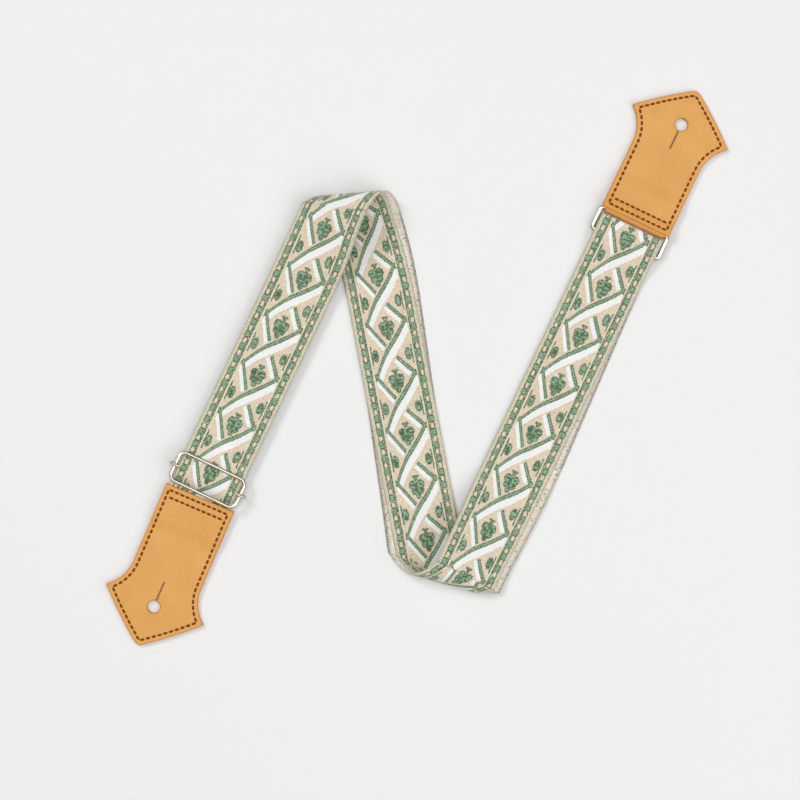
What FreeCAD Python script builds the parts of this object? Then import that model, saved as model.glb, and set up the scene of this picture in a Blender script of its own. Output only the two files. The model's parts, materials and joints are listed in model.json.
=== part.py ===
"""Guitar strap: doubled 50 mm woven webbing laid in an N, with leather end tabs, a wire ring and a wire slider.

Millimetres, +Z up, resting on z = 0. The strap is laid out in its own plan axes first, and the finished pieces are
moved so that the origin is at the middle of the whole object's footprint.
"""

import FreeCAD, Part
import math
import os

V = FreeCAD.Vector
UP = V(0, 0, 1)

# Webbing: one strip, doubled. The middle of the doubled strap is the face between its two layers.
WEB_WIDTH = 50.0
WEB_THICK = 1.4
HALF_GAP = 0.1
FRONT_LAYER = (HALF_GAP, HALF_GAP + WEB_THICK)
RETURN_LAYER = (-HALF_GAP - WEB_THICK, -HALF_GAP)
FLOOR_MIDDLE = HALF_GAP + WEB_THICK

# The way the strap lies: two folds along one direction, and three straight legs between them.
FOLD_ANGLE = -7.35
LEG_HEADING = 64.45
LEG_AT_ZERO = {1: -110.2, 2: -17.05, 3: 105.6}
SLIDER_LEVEL_MIDDLE = 5.7

# Folds: apex is the outermost line of the bend, measured across the fold direction. The bend is a cone: its radius
# is larger by cone at the right edge of the strap, and smaller by as much at the left. lean is how far the lower leg
# curves aside as it comes to the fold, and askew how much further out the bend stands at its right edge.
FOLD_1 = {"apex": 122.5, "side": 1, "radius": 8.5, "upper_leg": 1, "high": SLIDER_LEVEL_MIDDLE, "ramp": 11.0,
          "cone": 5.0, "lean": -5.0, "askew": 0.0}
FOLD_2 = {"apex": -157.5, "side": -1, "radius": 6.5, "upper_leg": 3, "high": FLOOR_MIDDLE, "ramp": 9.0,
          "cone": -3.9, "lean": 0.0, "askew": 8.0}
BLEND_RADIUS = 80.0
LEAN_REACH = 60.0
TURN_STEPS = 20
RAMP_STEPS = 6
BLEND_STEPS = 4
LEG_2_STEPS = 12
FAN_AT_FOLD_1 = 7.0
FAN_AT_FOLD_2 = -6.0

# Leather tabs, in a tab's own axes: u runs from its foot to its tip, v across.
LEATHER = 1.6
LEATHER_GAP = 0.1
TAB_HALF = 27.5
TAB_A = {"waist": 54.0, "corner": 78.4, "tip": 109.0, "hole": 80.5}
TAB_B = {"waist": 63.0, "corner": 87.0, "tip": 121.0, "hole": 89.0}
CORNER_HALF = 39.8
HOLE_RADIUS = 4.75
SLIT_LENGTH = 15.0
SLIT_WIDTH = 0.6
EDGE_INSET = 3.7
FOOT_ROW = 8.9
STITCH_PITCH = 4.5
STITCH_LENGTH = 2.4
STITCH_WIDTH = 0.8
STITCH_HEIGHT = 0.3

# Ring: a rectangular wire loop. Its lower bar is in the webbing's bight and its upper bar in tab A's tongue.
RING_WIRE = 1.5
RING_BARS_APART = 18.0
RING_HALF_WIDTH = 27.5
RING_CORNER = 2.5
RING_LEVEL = 3.25
BIGHT_INNER = RING_LEVEL - WEB_THICK
BIGHT_REACH = 10.75
TONGUE_INNER = RING_LEVEL - LEATHER
TONGUE_HALF = 24.5

# Slider: a wire frame over the strap and a centre bar under it, hooked round the frame's sides.
FRAME_WIRE = 1.25
FRAME_LEVEL = 8.65
FRAME_BARS_APART = 22.7
FRAME_HALF_WIDTH = 26.75
FRAME_CORNER = 5.0
BAR_WIRE = 1.1
BAR_LEVEL = 2.8
HOOK_RADIUS = 4.25
HOOK_START = 25.9
LOOP_INNER = BAR_LEVEL - WEB_THICK
LOOP_REACH = 26.0
LOOP_ROWS = (13.0, 18.0)
SLIDER_TRAVEL = 105.0
SLIDER_AT = -102.7
ANCHOR_DROP = (3.0, 13.5)
ANCHOR_END = 38.0
ANCHOR_STEPS = 6
CLIMB_START = -22.0
CLIMB_END = -2.0
CLIMB_STEPS = 5
TONGUE_END = 22.0
RING_AT = 112.6
TAB_B_FOOT = -14.6
TAB_B_TURN = 2.4


def rotated(angle):
    """The unit vector at an angle in plan, in degrees from +X."""
    return V(math.cos(math.radians(angle)), math.sin(math.radians(angle)), 0)


ALONG_FOLD = rotated(FOLD_ANGLE)
ACROSS_FOLD = rotated(FOLD_ANGLE + 90)
LEG_DIRECTION = rotated(LEG_HEADING)
LEG_RIGHT = rotated(LEG_HEADING - 90)
LEG_SLOPE = math.tan(math.radians(90 + FOLD_ANGLE - LEG_HEADING))
HALF_ALONG_FOLD = WEB_WIDTH / 2 / math.cos(math.atan(LEG_SLOPE))


def leg_centre(leg, across):
    """Where a leg's middle line stands along the fold direction, at a place across it."""
    slope = -LEG_SLOPE if leg == 2 else LEG_SLOPE
    return LEG_AT_ZERO[leg] + slope * across


def plan(along, across, z=0.0):
    return ALONG_FOLD * along + ACROSS_FOLD * across + UP * z


def eased(start, end, share):
    """A value that leaves start and reaches end gently, as share goes from 0 to 1."""
    return start + (end - start) * (1 - math.cos(math.pi * share)) / 2


def ribbon(bars, low, high):
    """A strip through bars, each (left point, right point, face normal), between two offsets along the normal."""
    sections = []
    for left, right, normal in bars:
        corners = [left + normal * low, right + normal * low, right + normal * high, left + normal * high]
        sections.append(Part.makePolygon(corners + corners[:1]))
    strip = Part.makeLoft(sections, True, True)
    if strip.Volume < 0:
        strip.reverse()
    return strip


def skew_bar(along, across, z, normal, aside, askew, slope, higher=0.0, further=0.0):
    """A bar of the strap along the fold direction. Its right end stands higher and further across than its middle,
    its left edge stays in plan where a level bar's would be, and aside moves it along its own line. It is also
    turned in plan, right end askew across, between the edges of a leg of that slope."""
    reach = math.sqrt(HALF_ALONG_FOLD ** 2 - higher ** 2 - further ** 2)
    half = ALONG_FOLD * (reach + slope * askew) + ACROSS_FOLD * (further + askew) + UP * higher
    middle = plan(along - (HALF_ALONG_FOLD - reach), across, z) + half * (aside / HALF_ALONG_FOLD)
    square = normal - half * (normal.dot(half) / half.dot(half))
    return middle - half, middle + half, square.normalize()


def cross_bar(origin, distance, z, half=WEB_WIDTH / 2, normal=UP):
    """A bar square across a leg, a distance along it from origin."""
    middle = origin + LEG_DIRECTION * distance + UP * z
    return middle - LEG_RIGHT * half, middle + LEG_RIGHT * half, normal


def fold_stations(fold):
    """From the lower leg to the upper: (back from the apex, height, normal back, normal up, share of the turn,
    how much the bar is turned in plan, how much higher and further back its right end is than its middle)."""
    radius, cone, ramp = fold["radius"], fold["cone"], math.radians(fold["ramp"])
    askew = fold["side"] * fold["askew"]
    back = radius + FRONT_LAYER[1]
    level = FLOOR_MIDDLE + radius
    stations = []
    for i in range(TURN_STEPS + 1):
        turn = -math.pi / 2 + (math.pi + ramp) * i / TURN_STEPS
        out, up = -math.cos(turn), math.sin(turn)
        stations.append((back + radius * out, level + radius * up, out, up, i / TURN_STEPS,
                         askew, cone * (1 + up), cone * out))
    turn_end, height, out, up = stations[-1][:4]
    blend_top = fold["high"] + BLEND_RADIUS * (1 - math.cos(ramp))
    ramp_end = turn_end + (height - blend_top) / math.tan(ramp)
    blend_end = ramp_end + BLEND_RADIUS * math.sin(ramp)
    for i in range(1, RAMP_STEPS):
        place = turn_end + (ramp_end - turn_end) * i / RAMP_STEPS
        stations.append((place, height + (blend_top - height) * i / RAMP_STEPS, out, up, None))
    for i in range(BLEND_STEPS + 1):
        tilt = ramp * (1 - i / BLEND_STEPS)
        stations.append((blend_end - BLEND_RADIUS * math.sin(tilt),
                         fold["high"] + BLEND_RADIUS * (1 - math.cos(tilt)), math.sin(tilt), math.cos(tilt), None))
    for i, station in enumerate(stations):
        if len(station) == 5:
            level_share = eased(1.0, 0.0, (station[0] - turn_end) / (blend_end - turn_end))
            stations[i] = station + (askew * level_share, cone * (1 + up) * level_share, cone * out * level_share)
    return stations


def fold_bars(fold, lower_fan, upper_fan):
    """Bars of one layer round a fold. The fans are how far this layer stands aside on its two legs."""
    stations = fold_stations(fold)
    lower_at = fold["apex"] - fold["side"] * stations[0][0]
    upper_at = fold["apex"] - fold["side"] * stations[TURN_STEPS][0]
    start = leg_centre(2, lower_at) + fold["lean"]
    end = leg_centre(fold["upper_leg"], upper_at)
    bars = []
    for back, height, out, up, share, askew, higher, further in stations:
        across = fold["apex"] - fold["side"] * back
        if share is None:
            along = leg_centre(fold["upper_leg"], across)
            aside = upper_fan
            slope = LEG_SLOPE
        else:
            along = start + (end - start) * share
            aside = lower_fan + (upper_fan - lower_fan) * share
            slope = LEG_SLOPE * (2 * share - 1)
        normal = ACROSS_FOLD * (-fold["side"] * out) + UP * up
        bars.append(skew_bar(along, across, height, normal, aside, askew, slope, higher, -fold["side"] * further))
    return bars


def leg_2_bars(fan_1, fan_2):
    """Bars of one layer on the middle leg, from the first fold to the second, between its fans at the two."""
    top = FOLD_1["apex"] - fold_stations(FOLD_1)[0][0]
    bottom = FOLD_2["apex"] + fold_stations(FOLD_2)[0][0]
    bars = []
    for i in range(LEG_2_STEPS + 1):
        across = top + (bottom - top) * i / LEG_2_STEPS
        aside = fan_1 + (fan_2 - fan_1) * i / LEG_2_STEPS
        near_1 = max(0.0, 1 - (top - across) / LEAN_REACH)
        near_2 = max(0.0, 1 - (across - bottom) / LEAN_REACH)
        along = leg_centre(2, across) + FOLD_1["lean"] * near_1 ** 2
        askew = -FOLD_2["askew"] * near_2 ** 2
        bars.append(skew_bar(along, across, FLOOR_MIDDLE, UP * -1, aside, askew, -LEG_SLOPE))
    return bars


def rounded_wire_loop(origin, half_width, near, far, corner, radius, level):
    """A closed loop of round wire lying level, square to the strap, from near to far along it."""

    def at(v, u):
        return origin + LEG_RIGHT * v + LEG_DIRECTION * u + UP * level

    pieces = []
    inner_v, inner_near, inner_far = half_width - corner, near + corner, far - corner
    for side in (-1, 1):
        run = at(side * half_width, inner_far) - at(side * half_width, inner_near)
        pieces.append(Part.makeCylinder(radius, run.Length, at(side * half_width, inner_near), LEG_DIRECTION))
    for end in (near, far):
        pieces.append(Part.makeCylinder(radius, 2 * inner_v, at(-inner_v, end), LEG_RIGHT))
    for v, u, start in ((inner_v, inner_far, 0), (-inner_v, inner_far, 90), (-inner_v, inner_near, 180),
                        (inner_v, inner_near, 270)):
        bend = Part.makeTorus(corner, radius, V(0, 0, 0), UP, 0, 360, 90)
        bend.rotate(V(0, 0, 0), UP, LEG_HEADING - 90 + start)
        bend.translate(at(v, u))
        pieces.append(bend)
    return pieces[0].multiFuse(pieces[1:]).removeSplitter()


def tab_place(shape, origin, heading):
    """Moves a shape from a tab's own axes, u along X and v along Y, to its place."""
    shape.rotate(V(0, 0, 0), UP, heading)
    shape.translate(origin)
    return shape


def tab_outline(tab, foot=0.0):
    """Wide head with two corners and a blunt point, on a straight-sided body."""
    rise = CORNER_HALF - TAB_HALF
    run = tab["corner"] - tab["waist"]
    radius = (run ** 2 + rise ** 2) / (2 * rise)
    half_turn = math.atan2(run, radius - rise) / 2
    edges = []
    for side in (1, -1):
        waist = V(tab["waist"], side * TAB_HALF, 0)
        corner = V(tab["corner"], side * CORNER_HALF, 0)
        tip = V(tab["tip"], 0, 0)
        flare = V(tab["waist"] + radius * math.sin(half_turn),
                  side * (TAB_HALF + radius * (1 - math.cos(half_turn))), 0)
        edge = (tip - corner).normalize()
        bulge = (corner + tip) * 0.5 + V(-edge.y, edge.x, 0) * (side * 0.9)
        edges.append(Part.LineSegment(V(foot, side * TAB_HALF, 0), waist).toShape())
        edges.append(Part.Arc(waist, flare, corner).toShape())
        edges.append(Part.Arc(corner, bulge, tip).toShape())
    edges.append(Part.LineSegment(V(foot, TAB_HALF, 0), V(foot, -TAB_HALF, 0)).toShape())
    return Part.Wire(Part.__sortEdges__(edges))


def tab_prism(tab, foot=0.0):
    """The outline as a tall prism, with its tip and head corners rounded, and its button hole and slit cut."""
    prism = Part.Face(tab_outline(tab, foot)).extrude(UP * 20)
    for place, radius in ((tab["tip"], 3.0), (tab["corner"], 1.5)):
        sharp = [e for e in prism.Edges if abs(e.tangentAt(e.FirstParameter).z) > 0.99
                 and abs(e.Vertexes[0].X - place) < 0.1]
        prism = prism.makeFillet(radius, sharp)
    hole = Part.makeCylinder(HOLE_RADIUS, 20, V(tab["hole"], 0, 0))
    slit_end = tab["hole"] - HOLE_RADIUS - SLIT_LENGTH
    slit = Part.makeBox(SLIT_LENGTH + HOLE_RADIUS, SLIT_WIDTH, 20, V(slit_end, -SLIT_WIDTH / 2, 0))
    return prism.cut(hole.fuse(slit))


def front_level(profile, u):
    """Height of the front leather's underside at u, along a profile of (u, height) points."""
    for (u0, z0), (u1, z1) in zip(profile, profile[1:]):
        if u <= u1:
            return z0 + (z1 - z0) * (u - u0) / (u1 - u0)
    return profile[-1][1]


def front_leather(tab, profile):
    """The front leather: the outline, bent over what lies between the leathers."""
    under = [V(u, -60, z) for u, z in profile]
    over = [V(u, -60, z + LEATHER) for u, z in reversed(profile)]
    slab = Part.Face(Part.makePolygon(under + over + under[:1])).extrude(V(0, 120, 0))
    return tab_prism(tab).common(slab)


def stitches(wire, profile):
    """Stitches on the front leather along the edges of a wire, one solid each."""
    found = []
    for edge in wire.Edges:
        count = max(1, round(edge.Length / STITCH_PITCH))
        if edge.Length < STITCH_LENGTH * 1.2:
            continue
        for i in range(count):
            middle = edge.Length * (i + 0.5) / count
            ends = [edge.getParameterByLength(middle + side * STITCH_LENGTH / 2) for side in (-1, 1)]
            points = [edge.valueAt(end) for end in ends]
            across = (points[1] - points[0]).cross(UP).normalize() * (STITCH_WIDTH / 2)
            bars = []
            for point in points:
                sides = [point + across * side for side in (-1, 1)]
                left, right = [V(p.x, p.y, front_level(profile, p.x) + LEATHER) for p in sides]
                bars.append((left, right, UP))
            found.append(ribbon(bars, 0.0, STITCH_HEIGHT))
    return Part.makeCompound(found)


def edge_path(tab):
    """The seam line round a tab, a set distance inside its edge."""
    return tab_outline(tab).makeOffset2D(-EDGE_INSET)


def row_path(u, half):
    return Part.Wire([Part.LineSegment(V(u, -half, 0), V(u, half, 0)).toShape()])


def tongue():
    """The back leather's tongue: round the ring's upper bar and back between the leathers."""
    stations = [(TONGUE_END - 10, RING_LEVEL - TONGUE_INNER, 0.0, -1.0)]
    steps = 12
    for i in range(steps + 1):
        turn = math.pi * i / steps
        out, up = -math.sin(turn), -math.cos(turn)
        stations.append((TONGUE_INNER * out, RING_LEVEL + TONGUE_INNER * up, out, up))
    stations.append((TONGUE_END - 12, LEATHER + LEATHER_GAP, 0.0, 1.0))
    stations.append((TONGUE_END, LEATHER + LEATHER_GAP, 0.0, 1.0))
    bars = []
    for u, z, out, up in stations:
        bars.append((V(u, -TONGUE_HALF, z), V(u, TONGUE_HALF, z), V(out, 0, up)))
    return ribbon(bars, 0.0, LEATHER)


def slider_bar_shape(origin):
    """Straight under the webbing, with an open hook round each side of the frame."""

    def at(v, z):
        return origin + LEG_RIGHT * v + UP * z

    centre = BAR_LEVEL + HOOK_RADIUS
    end = math.radians(115)
    path = [Part.LineSegment(at(-HOOK_START, BAR_LEVEL), at(HOOK_START, BAR_LEVEL)).toShape()]
    for side in (-1, 1):
        points = []
        for turn in (-math.pi / 2, (end - math.pi / 2) / 2, end):
            points.append(at(side * (HOOK_START + HOOK_RADIUS * math.cos(turn)),
                             centre + HOOK_RADIUS * math.sin(turn)))
        path.append(Part.Arc(*points).toShape())
    pieces = []
    for edge in path:
        start = edge.valueAt(edge.FirstParameter)
        circle = Part.Wire(Part.makeCircle(BAR_WIRE, start, edge.tangentAt(edge.FirstParameter)))
        pieces.append(Part.Wire(edge).makePipeShell([circle], True, True))
    return pieces[0].multiFuse(pieces[1:])


def end_loop_shape(origin):
    """The webbing's end, wrapped round the centre bar from above and sewn back under the strap."""
    top_in = SLIDER_LEVEL_MIDDLE - HALF_GAP - WEB_THICK
    stations = [(LOOP_REACH, top_in, 0.0, 1.0), (0.0, top_in, 0.0, 1.0)]
    steps = 12
    for i in range(1, steps + 1):
        turn = math.pi * i / steps
        out, up = -math.sin(turn), math.cos(turn)
        stations.append((LOOP_INNER * out, BAR_LEVEL + LOOP_INNER * up, out, up))
    flap_top = top_in - HALF_GAP * 2
    for share in (0.25, 0.5, 0.75, 1.0):
        stations.append((2 + 9 * share, eased(WEB_THICK, flap_top, share), 0.0, -1.0))
    stations.append((LOOP_REACH - 4, flap_top, 0.0, -1.0))
    bars = [cross_bar(origin, u, z, normal=LEG_DIRECTION * out + UP * up) for u, z, out, up in stations]
    return ribbon(bars, 0.0, WEB_THICK)


def build():
    """Every node's shape, and the points and axes that the joints and mounts use."""
    nodes = {}
    slider = plan(leg_centre(1, SLIDER_AT), SLIDER_AT)
    ring_origin = plan(leg_centre(3, RING_AT), RING_AT)

    # The layer that starts at tab B.
    fold_1_front = fold_bars(FOLD_1, FAN_AT_FOLD_1, 0.0)
    fold_2_front = fold_bars(FOLD_2, FAN_AT_FOLD_2, 0.0)
    nodes["front_fold_1"] = ribbon(fold_1_front, *FRONT_LAYER)
    nodes["front_fold_2"] = ribbon(fold_2_front, *FRONT_LAYER)
    nodes["front_leg_2"] = ribbon(leg_2_bars(FAN_AT_FOLD_1, FAN_AT_FOLD_2), *FRONT_LAYER)

    in_tab = LEATHER + LEATHER_GAP - HALF_GAP
    anchor = []
    for i in range(ANCHOR_STEPS + 1):
        share = i / ANCHOR_STEPS
        behind = ANCHOR_DROP[0] + (ANCHOR_DROP[1] - ANCHOR_DROP[0]) * share
        anchor.append(cross_bar(slider, -behind, eased(SLIDER_LEVEL_MIDDLE, in_tab, share)))
    anchor.append(cross_bar(slider, -ANCHOR_END, in_tab))
    nodes["webbing_anchor_end"] = ribbon(anchor, *FRONT_LAYER)
    nodes["front_leg_1"] = ribbon([fold_1_front[-1], anchor[0]], *FRONT_LAYER)

    # Round the ring: up off the strap, over the lower bar, round the bight and back underneath.
    bight = []
    for i in range(CLIMB_STEPS + 1):
        share = i / CLIMB_STEPS
        bight.append(cross_bar(ring_origin, CLIMB_START + (CLIMB_END - CLIMB_START) * share,
                               eased(FLOOR_MIDDLE + HALF_GAP, RING_LEVEL + BIGHT_INNER, share)))
    for i in range(11):
        turn = math.pi * i / 10
        out, up = math.sin(turn), math.cos(turn)
        bight.append(cross_bar(ring_origin, BIGHT_REACH + BIGHT_INNER * out, RING_LEVEL + BIGHT_INNER * up,
                               normal=LEG_DIRECTION * out + UP * up))
    bight.append(cross_bar(ring_origin, CLIMB_START, WEB_THICK, normal=UP * -1))
    nodes["ring_bight"] = ribbon(bight, 0.0, WEB_THICK)
    leg_3_end = cross_bar(ring_origin, CLIMB_START, FLOOR_MIDDLE)
    nodes["front_leg_3"] = ribbon([fold_2_front[-1], leg_3_end], *FRONT_LAYER)

    # The layer that comes back, on the inside of both folds.
    fold_1_return = fold_bars(FOLD_1, 0.0, 0.0)
    fold_2_return = fold_bars(FOLD_2, 0.0, -FAN_AT_FOLD_2)
    nodes["return_leg_3"] = ribbon([fold_2_return[-1], leg_3_end], *RETURN_LAYER)
    nodes["return_fold_2"] = ribbon(fold_2_return, *RETURN_LAYER)
    nodes["return_leg_2"] = ribbon(leg_2_bars(0.0, 0.0), *RETURN_LAYER)
    nodes["return_fold_1"] = ribbon(fold_1_return, *RETURN_LAYER)
    nodes["return_leg_1"] = ribbon([fold_1_return[-1], cross_bar(slider, LOOP_REACH, SLIDER_LEVEL_MIDDLE)],
                                   *RETURN_LAYER)
    nodes["webbing_end_loop"] = end_loop_shape(slider)
    tack = []
    for row in LOOP_ROWS:
        for i in range(10):
            v = (i - 4.5) * STITCH_PITCH
            level = SLIDER_LEVEL_MIDDLE - HALF_GAP * 3 - WEB_THICK * 2
            middle = slider + LEG_DIRECTION * row + LEG_RIGHT * v + UP * level
            half = LEG_DIRECTION * (STITCH_WIDTH / 2)
            reach = LEG_RIGHT * (STITCH_LENGTH / 2)
            bars = [(middle - reach - half, middle - reach + half, UP * -1),
                    (middle + reach - half, middle + reach + half, UP * -1)]
            tack.append(ribbon(bars, 0.0, STITCH_HEIGHT))
    nodes["end_loop_stitching"] = Part.makeCompound(tack)

    # Wire parts.
    nodes["ring"] = rounded_wire_loop(ring_origin, RING_HALF_WIDTH, 0.0, RING_BARS_APART, RING_CORNER, RING_WIRE,
                                      RING_LEVEL)
    half_frame = FRAME_BARS_APART / 2
    nodes["slider_frame"] = rounded_wire_loop(slider, FRAME_HALF_WIDTH, -half_frame, half_frame, FRAME_CORNER,
                                              FRAME_WIRE, FRAME_LEVEL)
    nodes["slider_bar"] = slider_bar_shape(slider)

    # Leather. Tab A folds round the ring, and tab B holds the webbing's end.
    settled = LEATHER + LEATHER_GAP
    over_bar = RING_LEVEL + TONGUE_INNER + LEATHER + LEATHER_GAP
    profile_a = [(0.0, over_bar), (10.5, settled * 2), (22.5, settled * 2), (32.0, settled), (120.0, settled)]
    over_web = settled + WEB_THICK + LEATHER_GAP
    profile_b = [(0.0, over_web), (25.5, over_web), (34.0, settled), (130.0, settled)]
    tab_a_origin = ring_origin + LEG_DIRECTION * RING_BARS_APART
    tab_b_origin = slider + LEG_DIRECTION * TAB_B_FOOT + LEG_RIGHT * 0.5
    tab_b_heading = LEG_HEADING + 180 + TAB_B_TURN

    back_slab = Part.makeBox(200, 200, LEATHER, V(0, -100, 0))
    back_a = tab_prism(TAB_A, 1.2).common(back_slab).fuse(tongue()).removeSplitter()
    nodes["tab_a_back"] = tab_place(back_a, tab_a_origin, LEG_HEADING)
    nodes["tab_a_front"] = tab_place(front_leather(TAB_A, profile_a), tab_a_origin, LEG_HEADING)
    nodes["tab_b_back"] = tab_place(tab_prism(TAB_B).common(back_slab), tab_b_origin, tab_b_heading)
    nodes["tab_b_front"] = tab_place(front_leather(TAB_B, profile_b), tab_b_origin, tab_b_heading)
    for name, tab, profile, origin, heading in (
        ("tab_a", TAB_A, profile_a, tab_a_origin, LEG_HEADING),
        ("tab_b", TAB_B, profile_b, tab_b_origin, tab_b_heading),
    ):
        edge = stitches(edge_path(tab), profile)
        foot = stitches(row_path(FOOT_ROW, TAB_HALF - EDGE_INSET - 2), profile)
        nodes[name + "_edge_stitching"] = tab_place(edge, origin, heading)
        nodes[name + "_foot_stitching"] = tab_place(foot, origin, heading)

    places = {
        "slider": slider,
        "ring_lower_bar": ring_origin + UP * RING_LEVEL,
        "ring_upper_bar": tab_a_origin + UP * RING_LEVEL,
        "hole_a": tab_a_origin + LEG_DIRECTION * TAB_A["hole"],
        "hole_b": tab_b_origin + rotated(tab_b_heading) * TAB_B["hole"],
    }
    return nodes, places


def centred(nodes, places):
    """Moves everything so that the origin is under the middle of the whole object's box."""
    box = FreeCAD.BoundBox()
    for shape in nodes.values():
        box.add(shape.optimalBoundingBox(False))
    shift = V(-box.Center.x, -box.Center.y, 0)
    for shape in nodes.values():
        shape.translate(shift)
    return nodes, {name: place + shift for name, place in places.items()}


NODES, PLACES = centred(*build())
os.makedirs("parts", exist_ok=True)
for name, shape in NODES.items():
    shape.exportStep("parts/" + name + ".step")
    print(f"{name}: {len(shape.Solids)} solids, valid {shape.isValid()}, {shape.Volume:.0f} mm3")
for name, place in PLACES.items():
    print(f"{name}: {place.x:.3f} {place.y:.3f} {place.z:.3f}")
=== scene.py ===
# A guitar strap lying in an N: doubled jacquard webbing, two leather tabs, a wire ring and a wire slider.
# Lengths are millimetres until a mesh is made. A tab's own axes are u from its foot to its tip, and v across.

import json
import math
from functools import partial

import bpy
import numpy as np
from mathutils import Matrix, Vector, geometry


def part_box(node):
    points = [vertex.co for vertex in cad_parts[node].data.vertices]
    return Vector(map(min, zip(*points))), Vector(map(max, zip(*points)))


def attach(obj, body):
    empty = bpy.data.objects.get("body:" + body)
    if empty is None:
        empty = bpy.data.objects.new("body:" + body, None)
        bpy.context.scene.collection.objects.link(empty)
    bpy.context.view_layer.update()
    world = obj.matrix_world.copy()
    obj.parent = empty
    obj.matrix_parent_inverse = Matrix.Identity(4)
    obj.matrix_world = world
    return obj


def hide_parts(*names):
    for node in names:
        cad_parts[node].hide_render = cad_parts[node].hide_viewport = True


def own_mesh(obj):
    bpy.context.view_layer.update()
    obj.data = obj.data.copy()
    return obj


MM = 0.001
UP = np.array((0.0, 0.0, 1.0))

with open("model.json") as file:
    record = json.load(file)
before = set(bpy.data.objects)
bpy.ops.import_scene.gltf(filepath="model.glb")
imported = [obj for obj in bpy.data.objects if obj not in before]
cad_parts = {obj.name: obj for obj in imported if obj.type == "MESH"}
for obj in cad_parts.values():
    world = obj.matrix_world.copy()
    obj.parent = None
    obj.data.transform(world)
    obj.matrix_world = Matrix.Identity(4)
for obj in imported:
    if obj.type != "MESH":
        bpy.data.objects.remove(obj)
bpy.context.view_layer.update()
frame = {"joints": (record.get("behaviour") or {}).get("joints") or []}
JOINTS = {joint["name"]: joint for joint in frame["joints"]}


def turned(angle):
    """The unit vector at an angle in plan, in degrees from +X."""
    return np.array((math.cos(math.radians(angle)), math.sin(math.radians(angle)), 0.0))


def middle_of(node):
    low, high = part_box(node)
    return np.array((low + high) / 2) / MM


# ---------------------------------------------------------------- the strap's sizes and the way it lies

WEB_WIDTH = 50.0
WEB_THICK = 1.4
HALF_GAP = 0.1
FLOOR_MIDDLE = HALF_GAP + WEB_THICK

# The three legs run along LEG, or along its mirror image for the middle one. Both folds run along ALONG_FOLD.
LEG = np.array(JOINTS["slider_slide"]["axis"])
RIGHT = np.array(JOINTS["ring_swing"]["axis"])
FOLD_ANGLE = -7.35
ALONG_FOLD = turned(FOLD_ANGLE)
ACROSS_FOLD = turned(FOLD_ANGLE + 90)
LEG_SLOPE = float(LEG @ ALONG_FOLD / (LEG @ ACROSS_FOLD))
LEG_PER_ACROSS = math.hypot(1.0, LEG_SLOPE)
HALF_ALONG_FOLD = WEB_WIDTH / 2 * LEG_PER_ACROSS
SKEW = HALF_ALONG_FOLD * float(LEG @ ALONG_FOLD)

# Where each leg's centre line is along the folds, at zero across them.
LEG_AT_ZERO = {1: -110.2, 2: -17.05, 3: 105.6}
SLIDER_LEVEL_MIDDLE = 5.7
SLIDER_AT = -102.7
# A fold's apex is its place across the folds, and its ramp is in degrees. Its radius grows by the cone from the
# middle to the right end. Beside it the middle leg is moved by the lean, and its bars are turned askew in plan.
FOLD_1 = {"apex": 122.5, "side": 1, "radius": 8.5, "upper_leg": 1, "high": SLIDER_LEVEL_MIDDLE, "ramp": 11.0,
          "cone": 5.0, "lean": -5.0, "askew": 0.0}
FOLD_2 = {"apex": -157.5, "side": -1, "radius": 6.5, "upper_leg": 3, "high": FLOOR_MIDDLE, "ramp": 9.0,
          "cone": -3.9, "lean": 0.0, "askew": 8.0}
BLEND_RADIUS = 80.0
LEAN_REACH = 60.0
TURN_STEPS = 48
RAMP_STEPS = 14
BLEND_STEPS = 8
LEG_2_STEPS = 24
# How far the two layers stand aside of each other at the folds.
FAN_AT_FOLD_1 = 7.0
FAN_AT_FOLD_2 = -6.0

SLIDER = middle_of("slider_frame") * (1, 1, 0)
RING_BAR = np.array(JOINTS["ring_swing"]["pos_m"]) / MM
TAB_BAR = np.array(JOINTS["tab_a_swing"]["pos_m"]) / MM
PLAN_ORIGIN = SLIDER - ALONG_FOLD * (LEG_AT_ZERO[1] + LEG_SLOPE * SLIDER_AT) - ACROSS_FOLD * SLIDER_AT

RING_WIRE = 1.5
RING_CORNER = 2.5
RING_HALF_WIDTH = 27.5
BIGHT_INNER = RING_BAR[2] - WEB_THICK
BIGHT_REACH = 10.75
BIGHT_LEVEL_OFF = 2.0
CLIMB = 22.0
FRAME_WIRE = 1.25
FRAME_LEVEL = 8.65
FRAME_BARS_APART = 22.7
FRAME_HALF_WIDTH = 26.75
FRAME_CORNER = 5.0
BAR_WIRE = 1.1
BAR_LEVEL = 2.8
HOOK_RADIUS = 4.25
HOOK_START = 25.9
HOOK_END = 115.0
LOOP_INNER = BAR_LEVEL - WEB_THICK
LOOP_REACH = 26.0
LOOP_RISE = (2.0, 9.0)
LOOP_END_BACK = 4.0
LOOP_ROWS = (13.0, 18.0)

LEATHER = 1.6
LEATHER_GAP = 0.1
SETTLED = LEATHER + LEATHER_GAP
TAB_HALF = 27.5
CORNER_HALF = 39.8
TAB_A = {"waist": 54.0, "corner": 78.4, "tip": 109.0, "hole": 80.5}
TAB_B = {"waist": 63.0, "corner": 87.0, "tip": 121.0, "hole": 89.0}
SIDE_BULGE = 0.9
TIP_ROUND = 4.0
CORNER_ROUND = 1.6
HOLE_RADIUS = 4.75
SLIT_LENGTH = 15.0
SLIT_WIDTH = 0.6
ANCHOR_REACH = 38.0
ANCHOR_RAMP = (3.0, 10.5)
JOINT_BACK = 2.0
TONGUE_INNER = RING_BAR[2] - LEATHER
TONGUE_HALF = 24.5
TONGUE_FOOT = 12.0
TONGUE_END = 22.0
BACK_FOOT = 1.2
TAB_B_FOOT = -14.6
TAB_B_ASIDE = 0.5
TAB_B_TURN = 2.4
HEADING = math.degrees(math.atan2(LEG[1], LEG[0]))

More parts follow.
